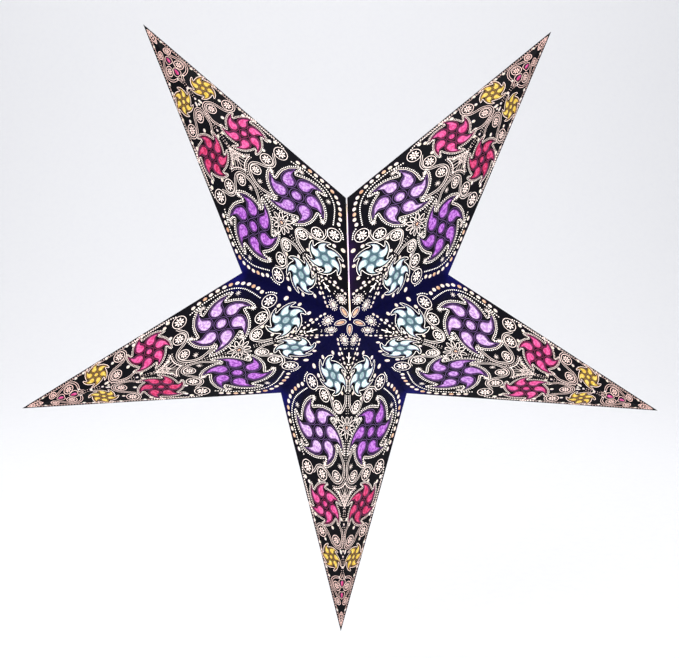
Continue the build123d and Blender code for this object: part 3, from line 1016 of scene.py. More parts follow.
class FacetArt:
    """The print, windows and tissue tints of one facet: common ornament, from arcs and formulas."""

    def card(self, outline: list[Point], extra: Sequence[Point] = ()) -> Drawing:
        """Draws the card's face.

        Args:
            outline: the facet's own outline.
            extra: one more window, such as the cord's hole.

        Returns:
            The drawing, not yet cut.
        """
        art = Drawing(outline, Region.GROUND)
        self._centre(art)
        self._borders(art)
        for line in SCROLLS:
            curve = smooth(line, 2.1)
            art.line(Region.CREAM, beside(curve, 0.95), 0.46)
            art.line(Region.CREAM, beside(curve, -0.95), 0.46)
        for wheel in WHEELS:
            wheel.print_on(art)
        for u, v, radius in ROSETTES:
            self._rosette(art, (u, v), radius)
        for centre in ASTERISKS:
            self._asterisk(art, centre, 3.3)
        self._flower(art, STAR_FLOWER, 11.6)
        self._trellis(art)
        self._leaf(art)
        self._windows(art)
        if extra:
            art.shape(Region.WINDOW, extra)
        return art

    def tissue(self, outline: list[Point], extra: Sequence[Point] = ()) -> Drawing:
        """Draws the tissue's tints, with one more opening if there is one.

        Args:
            outline: the tissue's own outline.
            extra: one more opening, if there is one.

        Returns:
            The drawing, not yet cut.
        """
        art = Drawing(outline, Tone.WARM)
        for wheel in WHEELS:
            wheel.tint(art)
        for number, centre in enumerate(ARC):
            if number % 4 == 2:
                art.shape(Tone.PEACH, disc(centre, 3.6, 8))
        for u, v, radius in DOTS:
            art.shape(Tone.WARM, disc((u, v), radius + 0.9, 8))
        for centre in RIDGE_DOTS:
            art.shape(Tone.WARM, disc(centre, 2.3, 8))
        for centre, radius in ((JEWEL, 5.2), (STAR_FLOWER, 6.0)):
            art.shape(Tone.PEACH, disc(centre, radius, 10))
        for u, _, radius in BUDS:
            art.shape(Tone.PINK, disc((u, 0.0), radius + 1.0, 10))
        if extra:
            art.shape(Region.WINDOW, extra)
        return art

    @staticmethod
    def _rosette(art: Drawing, centre: Point, radius: float) -> None:
        """A ring round an eight-petalled star.

        Args:
            art: the drawing on one facet.
            centre: its middle.
            radius: its radius in mm.
        """
        art.ring(Region.CREAM, centre, radius, 0.62, 18)
        for number in range(8):
            angle = 45.0 * number + 11.0
            loop = oval(polar(centre, radius * 0.46, angle), radius * 0.27, radius * 0.115, angle, 7)
            art.shape(Region.CREAM, loop)
        art.shape(Region.CREAM, disc(centre, radius * 0.13, 6))

    @staticmethod
    def _asterisk(art: Drawing, centre: Point, radius: float) -> None:
        """Eight thin rays with a dot in the middle.

        Args:
            art: the drawing on one facet.
            centre: its middle.
            radius: its radius in mm.
        """
        for number in range(8):
            angle = 45.0 * number + 5.0
            tip = polar(centre, radius, angle)
            art.shape(Region.CREAM, [polar(centre, 0.9, angle - 20), tip, polar(centre, 0.9, angle + 20)])
        art.shape(Region.CREAM, disc(centre, 0.62, 6))

    @staticmethod
    def _flower(art: Drawing, centre: Point, radius: float) -> None:
        """A star-flower of looped petals round a pierced eye.

        Args:
            art: the drawing on one facet.
            centre: its middle.
            radius: its radius in mm.
        """
        for number in range(10):
            angle = 36.0 * number
            loop = oval(polar(centre, radius * 0.68, angle), radius * 0.3, radius * 0.15, angle, 9)
            art.line(Region.CREAM, loop, 0.6, closed=True)
        art.dots(Region.CREAM, (polar(centre, radius * 0.28, 36.0 * n + 18) for n in range(10)), 0.6)
        art.shape(Region.WINDOW, disc(centre, radius * 0.15, 8))

    @staticmethod
    def _trellis(art: Drawing) -> None:
        """A hollow-sided patch of crossed lines on the ridge.

        Args:
            art: the drawing on one facet.
        """
        low, rows = -1.0, 6
        left, top, right = (159.0, low), (174.6, 15.4), (192.0, low)
        rise = [*bow(left, (172.2, 2.6), top, rows), top]
        fall = [*bow(top, (176.8, 2.6), right, rows), right]
        for number in range(1, rows):
            base = left[0] + (right[0] - left[0]) * number / rows
            art.line(Region.CREAM, [rise[number], (base + 3.4, low)], 0.36)
            art.line(Region.CREAM, [fall[rows - number], (base - 3.4, low)], 0.36)
        art.line(Region.CREAM, rise, 0.7)
        art.line(Region.CREAM, fall, 0.7)
        art.dots(Region.CREAM, spaced(beside(rise, 1.7), 2.4), 0.55)
        art.dots(Region.CREAM, spaced(beside(fall, 1.7), 2.4), 0.55)

    @staticmethod
    def _leaf(art: Drawing) -> None:
        """A small leaf at the tip, with its veins.

        Args:
            art: the drawing on one facet.
        """
        edge = bow(LEAF[0], (314.0, 5.4), LEAF[1], 8)
        art.line(Region.CREAM, [*edge, LEAF[1]], 0.5)
        for step in range(4):
            start = 309.0 + 3.2 * step
            art.line(Region.CREAM, [(start, 0.0), (start + 2.2, 1.9)], 0.4)
        art.line(Region.CREAM, [(307.5, 0.0), (322.0, 0.0)], 0.5)
        for u, _, radius in BUDS:
            art.ring(Region.CREAM, (u, 0.0), radius + 1.2, 0.5, 12)

    @staticmethod
    def _centre(art: Drawing) -> None:
        """The framed jewel, the anchor and the sprays round the star's own centre.

        Args:
            art: the drawing on one facet.
        """
        art.line(Region.CREAM, oval(JEWEL, 5.4, 3.4), 0.5, closed=True)
        art.ring(Region.CREAM, SPRAY, 3.9, 0.5, 12)
        art.dots(Region.CREAM, (polar(SPRAY, 5.2, 30.0 * n) for n in range(12)), 0.55)
        art.line(Region.CREAM, [(30.5, 0.0), (40.5, 0.0)], 1.3)
        art.line(Region.CREAM, bow((34.0, -4.4), (39.5, 0.0), (34.0, 4.4), 6), 0.9)
        art.line(Region.CREAM, [(42.5, -2.2), (42.5, 2.2)], 0.9)
        sprays = ((47.8, 0.0), (50.6, 1.6), (27.6, 3.0), (29.0, 5.6), (44.8, 9.0), (41.6, 11.0))
        art.dots(Region.CREAM, sprays, 0.6)

    @staticmethod
    def _borders(art: Drawing) -> None:
        """Rows of small beads beside the valley, along the side edge and along the ridge.

        Args:
            art: the drawing on one facet.
        """
        for line in BEAD_LINES:
            art.dots(Region.WHITE, spaced(smooth(line, 2.0), BEAD_GAP), 0.76)
        side = [(NOTCH_FLAT[0] + t * SIDE_RUN[0], NOTCH_FLAT[1] + t * SIDE_RUN[1]) for t in (0.36, 0.965)]
        art.dots(Region.CREAM, spaced(beside(side, -1.7), 2.6), 0.5)
        art.line(Region.CREAM, beside(side, -3.0), 0.34)
        for start, end in ((60.5, 91.0), (119.0, 157.0), (194.0, 204.0), (211.0, 234.0), (247.0, 262.0)):
            art.dots(Region.CREAM, spaced([(start, 1.25), (end, 1.25)], 2.6), 0.45)

    @staticmethod
    def _windows(art: Drawing) -> None:
        """The single pierced dots, ovals and buds.

        Args:
            art: the drawing on one facet.
        """
        for u, v, radius in DOTS:
            art.shape(Region.WINDOW, disc((u, v), radius, 10))
        for centre in RIDGE_DOTS:
            art.shape(Region.WINDOW, disc(centre, 1.5, 8))
        path = smooth(ARC, 2.0)
        for centre in ARC:
            near = min(range(len(path) - 1), key=lambda n: math.dist(path[n], centre))
            run = (path[near + 1][0] - path[near][0], path[near + 1][1] - path[near][1])
            lean = math.degrees(math.atan2(run[1], run[0]))
            art.shape(Region.WINDOW, oval(centre, 2.4, 2.0, lean, 10))
        art.shape(Region.WINDOW, oval(JEWEL, 4.0, 2.3))
        art.shape(Region.WINDOW, disc(SPRAY, 2.7))
        for u, v, radius in BUDS:
            art.shape(Region.WINDOW, oval((u, v), radius, radius * 0.62, 0.0, 10))


UP_VALLEY = SIZE.cord_from_notch / VALLEY_LENGTH
CORD_HOLE = np.array([0.0, SIZE.half_depth * UP_VALLEY, SIZE.notch * (1.0 - UP_VALLEY)])
LAMP_AXIS = CORD_HOLE / np.linalg.norm(CORD_HOLE)


def round_lamp(radius: float) -> list[Point]:
    """The outline, on the flat back facet beside the seam, of a round hole along the lamp's axis.

    Args:
        radius: the hole's radius in mm.

    Returns:
        Its corners.
    """
    fold = Fold(1, 1)
    turn = math.radians(ARM_TURNS[Arm.UPPER_RIGHT])
    cos, sin = math.cos(turn), math.sin(turn)
    into_arm = np.array([[cos, 0, sin], [0, 1, 0], [-sin, 0, cos]])
    axis, centre = into_arm @ LAMP_AXIS, into_arm @ CORD_HOLE
    first = np.cross(axis, [0.0, 1.0, 0.0])
    first /= np.linalg.norm(first)
    second, made, count = np.cross(axis, first), [], 24
    for step in range(count):
        angle = 2 * math.pi * step / count
        start = centre + radius * (math.cos(angle) * first + math.sin(angle) * second)
        reach = fold.normal @ (fold.apex - start) / (fold.normal @ axis)
        made.append(fold.flat(start + reach * axis))
    return made


def put_in_scene(name: str, data: bpy.types.ID) -> bpy.types.Object:
    """Makes an object and puts it in the scene.

    Args:
        name: the object's name.
        data: its mesh, light or camera.

    Returns:
        The object.
    """
    made = bpy.data.objects.new(name, data)
    bpy.context.scene.collection.objects.link(made)
    return made


@dataclass
class MeshPot:
    """Collects the corners, faces, materials and flat coordinates of one mesh, in mm."""

    turn: float = 0.0
    places: list[tuple[float, float, float]] = field(default_factory=list)
    numbers: dict[tuple[int, ...], int] = field(default_factory=dict)
    faces: list[tuple[int, ...]] = field(default_factory=list)
    marks: list[int] = field(default_factory=list)
    flats: list[Point] = field(default_factory=list)
    materials: list[bpy.types.Material] = field(default_factory=list)

    def corner_numbers(self, places: np.ndarray) -> list[int]:
        """The numbers of these places, welded to those already there within a thousandth of a mm.

        Args:
            places: the places, in mm.

        Returns:
            Their numbers.
        """
        made = []
        for key, place in zip(np.rint(places * 1000).astype(int).tolist(), places.tolist()):
            number = self.numbers.setdefault(tuple(key), len(self.places))
            if number == len(self.places):
                self.places.append(tuple(place))
            made.append(number)
        return made

    def slot_of(self, material: bpy.types.Material) -> int:
        """The mesh's slot for a material, added if it is new.

        Args:
            material: the material.

        Returns:
            The slot's number.
        """
        if material not in self.materials:
            self.materials.append(material)
        return self.materials.index(material)

    def face(self, corners: Sequence[int], slot: int, flats: Sequence[Point]) -> None:
        """Adds a face, unless welding has left it fewer than three corners.

        Args:
            corners: the numbers of its corners, counterclockwise from outside.
            slot: its material's slot.
            flats: its corners in flat coordinates.
        """
        if len(set(corners)) == len(corners):
            self.faces.append(tuple(corners))
            self.marks.append(slot)
            self.flats.extend(flats)

    def prism(self, base: np.ndarray, rise: np.ndarray, material: bpy.types.Material) -> None:
        """Adds a closed plate with this base and height.

        Args:
            base: the corners of its base.
            rise: its height, as a vector.
            material: its material.
        """
        area = sum(np.cross(a, b) for a, b in zip(base, np.roll(base, -1, axis=0)))
        low = base if area @ rise < 0 else base[::-1]
        count, slot = len(base), self.slot_of(material)
        first = len(self.places)
        self.places.extend(tuple(p) for p in [*low.tolist(), *(low + rise).tolist()])
        ends = [list(range(first, first + count)), list(range(first + 2 * count - 1, first + count - 1, -1))]
        walls = []
        for n in range(count):
            after = (n + 1) % count
            walls.append([first + n, first + count + n, first + count + after, first + after])
        for corners in (*ends, *walls):
            self.face(corners, slot, [(0.0, 0.0)] * len(corners))

    def pour(self, name: str) -> bpy.types.Object:
        """Turns the arm to its place in the star and makes the object.

        Args:
            name: the object's name.

        Returns:
            The object.
        """
        places = np.array(self.places)
        angle = math.radians(self.turn)
        cos, sin = math.cos(angle), math.sin(angle)
        x, y, z = places.T
        turned = np.stack([x * cos - z * sin, y, x * sin + z * cos], axis=1)
        mesh = bpy.data.meshes.new(name)
        mesh.from_pydata((turned * MM).tolist(), [], self.faces)
        for material in self.materials:
            mesh.materials.append(material)
        mesh.polygons.foreach_set("material_index", self.marks)
        layer = mesh.uv_layers.new(name=FACET_UV)
        layer.data.foreach_set("uv", (np.array(self.flats, np.float32) / FACET_UV_LENGTH).ravel())
        mesh.update()
        counts = (len(places), len(self.faces), len(self.materials))
        log.info("%s: %d corners, %d faces, %d materials", name, *counts)
        return put_in_scene(name, mesh)


@dataclass
class FoldedShell:
    """A thin shell of four flat facets folded along the ridges and side edges of one arm."""

    pot: MeshPot
    depth: float
    thickness: float
    edge: bpy.types.Material
    reverse: bpy.types.Material
    borders: dict[tuple[int, int], tuple[int, int, tuple[Point, Point]]] = field(default_factory=dict)

    def add(
        self,
        fold: Fold,
        sheet: FlatSheet,
        backing: FlatSheet,
        setback: float,
        finish: dict[Enum, bpy.types.Material],
    ) -> None:
        """Folds one facet into the shell.

        Args:
            fold: which of the arm's facets it is.
            sheet: its printed face, flat.
            backing: its other face, flat, with the same borders.
            setback: the distance of its valley edge from the plane between two arms.
            finish: the material of each kind of patch.
        """
        flipped = float(np.cross(fold.along, fold.across) @ fold.normal) < 0
        outer = self._corners(fold, sheet, setback, self.depth)
        slots = {kind: self.pot.slot_of(material) for kind, material in finish.items()}
        for corners, kind in zip(sheet.triangles, sheet.kinds):
            order = corners[::-1] if flipped else corners
            self.pot.face([outer[n] for n in order], slots[kind], [sheet.points[n] for n in order])
        inner = self._corners(fold, backing, setback, self.depth + self.thickness)
        slot = self.pot.slot_of(self.reverse)
        for corners in backing.triangles:
            order = corners if flipped else corners[::-1]
            self.pot.face([inner[n] for n in order], slot, [backing.points[n] for n in order])
        below = {tuple(point): n for n, point in enumerate(backing.points)}
        for a, b in sheet.borders():
            under = (inner[below[sheet.points[a]]], inner[below[sheet.points[b]]])
            start, end = a, b
            if flipped:
                start, end, under = b, a, under[::-1]
            self.borders[outer[start], outer[end]] = (*under, (sheet.points[start], sheet.points[end]))

    def close(self) -> None:
        """Adds a wall at each edge that no other facet meets: round the windows and along the valleys."""
        slot = self.pot.slot_of(self.edge)
        for (a, b), (under_a, under_b, flats) in self.borders.items():
            if (b, a) not in self.borders:
                self.pot.face([b, a, under_a, under_b], slot, [flats[1], flats[0], flats[0], flats[1]])

    def _corners(self, fold: Fold, sheet: FlatSheet, setback: float, depth: float) -> list[int]:
        """The sheet's corners at some depth inside the star's faces, mitred along its folds.

        Args:
            fold: the facet.
            sheet: its corners, flat.
            setback: the distance of its valley edge from the plane between two arms.
            depth: how deep the corners lie, in mm.

        Returns:
            The corners' numbers.
        """
        points = np.array(sheet.points)
        ridge = np.abs(points[:, 1]) < 0.01
        side = math.hypot(*SIDE_RUN)
        from_notch = points - np.array(NOTCH_FLAT)
        edge = np.abs(from_notch[:, 0] * SIDE_RUN[1] - from_notch[:, 1] * SIDE_RUN[0]) / side < 0.01
        valley = np.abs(points @ np.array(VALLEY_IN) - setback / VALLEY_LEAN) < 0.01
        if 0.0 < setback < SIZE.lining_setback:
            valley &= ~ridge  # the card's corner at the seam meets the other facet's on the ridge
        inward = np.empty((len(points), 3))
        for key in {*zip(ridge.tolist(), edge.tolist(), valley.tolist())}:
            inward[(ridge == key[0]) & (edge == key[1]) & (valley == key[2])] = self._mitre(fold, *key)
        return self.pot.corner_numbers(fold.lift(points) - depth * inward)

    @staticmethod
    def _mitre(fold: Fold, ridge: bool, edge: bool, valley: bool) -> np.ndarray:
        """The way in from a corner that is one unit deep below each facet that meets there.

        Args:
            fold: the facet.
            ridge: does the corner lie on the ridge?
            edge: does it lie on the side edge?
            valley: does it lie on the valley edge?

        Returns:
            The vector to it.
        """
        rows, goals = [fold.normal], [1.0]
        if ridge:
            rows.append(Fold(fold.face, -fold.side).normal)
        if edge:
            rows.append(Fold(-fold.face, fold.side).normal)
        if ridge and edge:
            rows.append(Fold(-fold.face, -fold.side).normal)
        goals += [1.0] * (len(rows) - 1)
        if valley:
            rows.append(fold.valley_normal)
            goals.append(0.0)
        return np.linalg.lstsq(np.array(rows), np.array(goals), rcond=None)[0]


class Sheets:
    """The flat cuts of the card and of the tissue: plain, beside the seam, and there with the cord's hole."""

    def __init__(self) -> None:
        """Cuts each of them once."""
        art = FacetArt()
        half = SIZE.seam_gap / 2
        self.card = {
            Cut.PLAIN: self._pair(art.card(facet_outline(0.0))),
            Cut.SEAM: self._pair(art.card(facet_outline(half))),
            Cut.HOLE: self._pair(art.card(facet_outline(half), round_lamp(SIZE.cord_hole))),
        }
        wide = SIZE.lining_setback
        self.tissue = {
            Cut.PLAIN: self._pair(art.tissue(facet_outline(wide))),
            Cut.SEAM: self._pair(art.tissue(facet_outline(wide + half))),
            Cut.HOLE: self._pair(art.tissue(facet_outline(wide + half), round_lamp(SIZE.tissue_hole))),
        }
        counts = [len(made[Cut.PLAIN][0].triangles) for made in (self.card, self.tissue)]
        log.info("sheets: %d triangles on a card facet, %d on a tissue facet", *counts)

    @staticmethod
    def _pair(drawing: Drawing) -> tuple[FlatSheet, FlatSheet]:
        """A drawing's printed face and its backing."""
        sheet = drawing.settle()
        return sheet, sheet.backing()

    @staticmethod
    def cut_for(arm: Arm, fold: Fold) -> Cut:
        """Which cut a facet takes.

        Args:
            arm: the arm.
            fold: the facet.

        Returns:
            The cut.
        """
        if SEAM_SIDES.get(arm) != fold.side:
            return Cut.PLAIN
        return Cut.HOLE if fold.face > 0 else Cut.SEAM


@dataclass
class Finishes:
    """All the materials of the card and the tissue."""

    inks: dict[Enum, bpy.types.Material]
    tones: dict[Enum, bpy.types.Material]
    # darker and in-between copies of tints, as painted shade on some facets
    deep: dict[Enum, bpy.types.Material]
    medium: dict[Enum, bpy.types.Material]
    edge: bpy.types.Material
    reverse: bpy.types.Material
    seam: bpy.types.Material
    seam_grounds: dict[Arm, bpy.types.Material]

    @classmethod
    def make(cls) -> "Finishes":
        """Makes each material once.

        Returns:
            The materials.
        """
        tables = []
        for table in (INKS, TISSUE, SHADED_TINTS, HALF_SHADED_TINTS):
            tables.append({kind: finish.make() for kind, finish in table.items()})
        grounds = {arm: finish.make() for arm, finish in SEAM_GROUNDS.items()}
        return cls(*tables, CARD_EDGE.make(), CARD_REVERSE.make(), SEAM_FACE.make(), grounds)


@dataclass
class CardArm:
    """One folded, printed and pierced card arm with its glue flaps and its closing lap."""

    arm: Arm
    sheets: Sheets
    finish: Finishes

    def build(self) -> bpy.types.Object:
        """Folds the four facets, closes their edges and adds the flaps and the lap.

        Returns:
            The object.
        """
        pot = MeshPot(ARM_TURNS[self.arm])
        shell = FoldedShell(pot, 0.0, SIZE.card, self.finish.edge, self.finish.reverse)
        for face in (-1, 1):
            for side in (-1, 1):
                fold = Fold(face, side)
                cut = Sheets.cut_for(self.arm, fold)
                setback = 0.0 if cut is Cut.PLAIN else SIZE.seam_gap / 2
                inks = dict(self.finish.inks)
                # beside the seam the ground takes its own copy: with a wash of painted seam light on the
                # upper right, without a wash on the upper left
                if setback:
                    inks[Region.GROUND] = self.finish.seam_grounds[self.arm]
                shell.add(fold, *self.sheets.card[cut], setback, inks)
                self._flap(pot, fold, setback)
        shell.close()
        self._lap(pot)
        return pot.pour(f"card_{self.arm.value}")

    def _flap(self, pot: MeshPot, fold: Fold, setback: float) -> None:
        """The glue flap along one valley, square to the facets' own plane there.

        Args:
            pot: the arm's mesh.
            fold: the facet that it belongs to.
            setback: the valley edge's distance from the plane between two arms.
        """
        run = fold.apex - fold.notch
        length = float(np.linalg.norm(run))
        run = run / length
        inward = np.cross(fold.valley_normal, run)
        inward = inward if inward @ (fold.notch + fold.apex) < 0 else -inward
        at_hole = setback and fold.face > 0
        start = SIZE.hole_flap_from_notch if at_hole else SIZE.flap_from_notch
        end, gap, width = length - SIZE.flap_from_apex, SIZE.flap_gap, SIZE.flap_width
        corners = ((start, gap), (end, gap), (end - width, width), (start + width, width))
        foot = fold.notch + setback * fold.valley_normal
        base = np.array([foot + a * run + b * inward for a, b in corners])
        # the flaps beside the seam take the glowing seam face, painted light; the others take the card's back
        material = self.finish.seam if setback else self.finish.reverse
        pot.prism(base, SIZE.card * fold.valley_normal, material)

    def _lap(self, pot: MeshPot) -> None:
        """The lap that closes the blank behind the back ridge, on the upper facet.

        Args:
            pot: the arm's mesh.
        """
        fold = Fold(1, 1)
        deep = SIZE.card + SIZE.lining_gap + SIZE.lining + SIZE.glue
        near, far, slant = SIZE.lap_from_apex, RIDGE_LENGTH - SIZE.lap_from_tip, SIZE.lap_slant
        gap, width = SIZE.lap_gap, SIZE.lap_width
        corners = ((near, gap), (far, gap), (far - slant, width), (near + slant, width))
        base = fold.lift(np.array(corners)) - deep * fold.normal
        pot.prism(base, -SIZE.card * fold.normal, self.finish.reverse)


@dataclass
class TissueArm:
    """The coloured tissue glued inside one arm."""

    arm: Arm
    sheets: Sheets
    finish: Finishes

    def build(self) -> bpy.types.Object:
        """Folds the four tinted sheets, a little short of the valleys.

        Returns:
            The object.
        """
        pot = MeshPot(ARM_TURNS[self.arm])
        warm = self.finish.tones[Tone.WARM]
        shell = FoldedShell(pot, SIZE.card + SIZE.lining_gap, SIZE.lining, warm, warm)
        for face in (-1, 1):
            for side in (-1, 1):
                fold = Fold(face, side)
                cut = Sheets.cut_for(self.arm, fold)
                setback = SIZE.lining_setback + (0.0 if cut is Cut.PLAIN else SIZE.seam_gap / 2)
                tones = dict(self.finish.tones)
                # painted shade: on some facets the tints take darker copies
                if (self.arm, side) in SHADED_FACETS:
                    tones |= self.finish.deep
                elif (self.arm, side) in HALF_SHADED_FACETS:
                    tones |= self.finish.medium
                shell.add(fold, *self.sheets.tissue[cut], setback, tones)
        shell.close()
        return pot.pour(f"tissue_{self.arm.value}")


OPAL = PlainFinish(
    "opal_glass", srgb(255, 244, 222), srgb(255, 236, 206), 0.22, 300.0, 0.00002, coat=0.5, glow=1.6
)
BASE_METAL = PlainFinish(
    "base_metal", srgb(196, 190, 176), srgb(150, 142, 126), 0.34, 700.0, 0.00004, metallic=1.0
)
BASE_GLASS = PlainFinish("base_glass", srgb(26, 24, 28), srgb(48, 44, 48), 0.2, 500.0, 0.00003, coat=0.4)
SOLDER = PlainFinish(
    "base_solder", srgb(176, 178, 180), srgb(132, 134, 138), 0.42, 1500.0, 0.00008, metallic=1.0
)
HOLDER = PlainFinish(
    "holder_plastic", srgb(236, 233, 224), srgb(216, 210, 196), 0.36, 1400.0, 0.00004, coat=0.15
)
INSERT = PlainFinish("insert_plastic", srgb(222, 214, 198), srgb(196, 186, 168), 0.6, 1800.0, 0.00007)
BRASS = PlainFinish(
    "drawn_brass", srgb(206, 172, 104), srgb(162, 126, 70), 0.3, 500.0, 0.00003,
    metallic=1.0, stretch=(1.0, 1.0, 7.0),
)
FOAM = PlainFinish("foam", srgb(238, 236, 230), srgb(214, 210, 202), 0.9, 3200.0, 0.0004)
BACKDROP = PlainFinish("backdrop_paper", srgb(250, 250, 251), srgb(247, 247, 249), 0.9, 40.0, 0.0)
CARRIED = {
    "holder_cap": HOLDER,
    "holder_body": HOLDER,
    "holder_insert": INSERT,
    "screw_sleeve": BRASS,
    "centre_contact": BRASS,
}


def declare(piece: bpy.types.Object, node: str) -> None:
    """Ties a piece to the frame: it rides on the star and stands for a CAD node, which is hidden.

    Args:
        piece: the piece.
        node: the CAD's node.
    """
    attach(piece, "root")
    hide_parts(node)


class BulbPart(Enum):
    """What a ring of the bulb's skin belongs to."""

    GLOBE = "globe"
    SHELL = "shell"
    THREAD = "thread"
    INSULATOR = "insulator"
    CONTACT = "contact"


Ring = tuple[float, float, BulbPart]
BULB_FINISHES = {
    BulbPart.GLOBE: OPAL,
    BulbPart.SHELL: BASE_METAL,
    BulbPart.INSULATOR: BASE_GLASS,
    BulbPart.CONTACT: SOLDER,
}
END_RINGS = (
    (6.3, 3.5, BulbPart.SHELL),
    (5.6, 2.8, BulbPart.INSULATOR),
    (3.4, 1.4, BulbPart.INSULATOR),
    (2.4, 1.0, BulbPart.CONTACT),
    (2.3, 0.3, BulbPart.CONTACT),
    (1.5, 0.0, BulbPart.CONTACT),
)


@dataclass(frozen=True)
class Bulb:
    """The ball bulb, turned about the lamp's axis. Heights run along it from the star's centre, in mm."""

    top: float = 51.054
    length: float = 77.0
    end_length: float = 3.5
    base_length: float = 17.0
    neck_length: float = 3.0
    globe_radius: float = 22.5
    neck_radius: float = 8.2
    base_radius: float = 6.95
    thread_pitch: float = 2.82
    thread_depth: float = 0.5
    rim_drop: float = 0.5
    rim_step: float = 0.2
    shoulder: float = 48.0
    sharp: float = math.radians(38)
    around: int = 56
    globe_rings: int = 28
    thread_rings: int = 36

    @property
    def thread_top(self) -> float:
        """The height where the threaded metal ends below the contact."""
        return self.top - self.end_length

    @property
    def thread_foot(self) -> float:
        """The height where the thread begins."""
        return self.thread_top - self.base_length

    @property
    def neck_foot(self) -> float:
        """The height where glass and metal meet."""
        return self.thread_foot - self.neck_length

    @property
    def globe_height(self) -> float:
        """The height of the globe's middle."""
        return self.top - self.length + self.globe_radius

    def profile(self) -> list[Ring]:
        """The outline from the globe's foot to the contact.

        Returns:
            A radius, a height and a part for each ring.
        """
        made = []
        for step in range(1, self.globe_rings + 1):
            angle = math.radians(-90 + (90 + self.shoulder) * step / self.globe_rings)
            height = self.globe_height + self.globe_radius * math.sin(angle)
            made.append((self.globe_radius * math.cos(angle), height, BulbPart.GLOBE))
        low, lean = made[-1], math.radians(self.shoulder)
        pull = (self.neck_radius, low[1] + (low[0] - self.neck_radius) / math.tan(lean))
        for radius, height in bow((low[0], low[1]), pull, (self.neck_radius, self.neck_foot), 9)[1:]:
            made.append((radius, height, BulbPart.GLOBE))
        made.append((self.neck_radius, self.neck_foot, BulbPart.GLOBE))
        made.append((self.neck_radius, self.thread_foot - self.rim_drop, BulbPart.SHELL))
        made.append((self.base_radius - self.rim_step, self.thread_foot, BulbPart.SHELL))
        for step in range(1, self.thread_rings):
            height = self.thread_foot + self.base_length * step / self.thread_rings
            made.append((self.base_radius, height, BulbPart.THREAD))
        made.extend((radius, self.top - drop, part) for radius, drop, part in END_RINGS)
        return made

    def build(self) -> bpy.types.Object:
        """Turns the profile, with a rolled thread on the base, and closes both ends.

        Returns:
            The object.
        """
        rings = self.profile()
        faces, marks = self._skin(rings)
        mesh = bpy.data.meshes.new("ball_bulb")
        mesh.from_pydata(self._corners(rings), [], faces)
        for finish in BULB_FINISHES.values():
            mesh.materials.append(finish.make())
        mesh.polygons.foreach_set("material_index", marks)
        mesh.polygons.foreach_set("use_smooth", [True] * len(faces))
        mesh.set_sharp_from_angle(angle=self.sharp)
        mesh.update()
        log.info("ball_bulb: %d faces", len(faces))
        return put_in_scene("ball_bulb", mesh)

    def _corners(self, rings: Sequence[Ring]) -> list[tuple[float, ...]]:
        """The corners of each ring, then the middles of the globe's foot and of the contact.

        Args:
            rings: the bulb's outline.

        Returns:
            The corners, in metres.
        """
        first = np.array([1.0, 0.0, 0.0])
        second = np.cross(LAMP_AXIS, first)
        made = []
        for radius, height, part in rings:
            for step in range(self.around):
                angle = 2 * math.pi * step / self.around
                cut = self._thread(height, angle) if part is BulbPart.THREAD else 0.0
                out = (radius - cut) * (math.cos(angle) * first + math.sin(angle) * second)
                made.append(tuple((height * LAMP_AXIS + out) * MM))
        made.extend(tuple(height * LAMP_AXIS * MM) for height in (self.top - self.length, self.top))
        return made

    def _skin(self, rings: Sequence[Ring]) -> tuple[list[tuple[int, ...]], list[int]]:
        """The faces between the rings and over both ends.

        Args:
            rings: the bulb's outline.

        Returns:
            The faces by their corners' numbers, and the number of each one's material.
        """
        slots = {part: number for number, part in enumerate(BULB_FINISHES)}
        slots[BulbPart.THREAD] = slots[BulbPart.SHELL]
        last, foot = (len(rings) - 1) * self.around, len(rings) * self.around
        faces, marks = [], []
        for number, (_, _, part) in enumerate(rings[1:]):
            low, high = number * self.around, (number + 1) * self.around
            for step in range(self.around):
                after = (step + 1) % self.around
                faces.append((low + step, low + after, high + after, high + step))
                marks.append(slots[part])
        for step in range(self.around):
            after = (step + 1) % self.around
            faces += [(after, step, foot), (last + step, last + after, foot + 1)]
            marks += [slots[BulbPart.GLOBE], slots[BulbPart.CONTACT]]
        return faces, marks

    def _thread(self, height: float, angle: float) -> float:
        """How far the rolled thread lies below its crest, fading out at both ends.

        Args:
            height: the height in mm.
            angle: the direction round the axis, in radians.

        Returns:
            The depth in mm.
        """
        fade = min(1.0, (height - self.thread_foot) / 1.5, (self.thread_top - height) / 1.5)
        wave = 0.5 - 0.5 * math.cos(2 * math.pi * height / self.thread_pitch + angle)
        return self.thread_depth * max(fade, 0.0) * wave


@dataclass(frozen=True)
class FoamPad:
    """One soft pad between the two flaps of the open seam."""

    node: str

    def build(self, foam: bpy.types.Material) -> bpy.types.Object:
        """Copies the pad's block and gives it foam.

        Args:
            foam: the material.

        Returns:
            The object.
        """
        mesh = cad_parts[self.node].data.copy()
        mesh.name = f"foam_{self.node}"
        mesh.materials.clear()
        mesh.materials.append(foam)
        log.info("%s: %d faces", mesh.name, len(mesh.polygons))
        return put_in_scene(mesh.name, mesh)


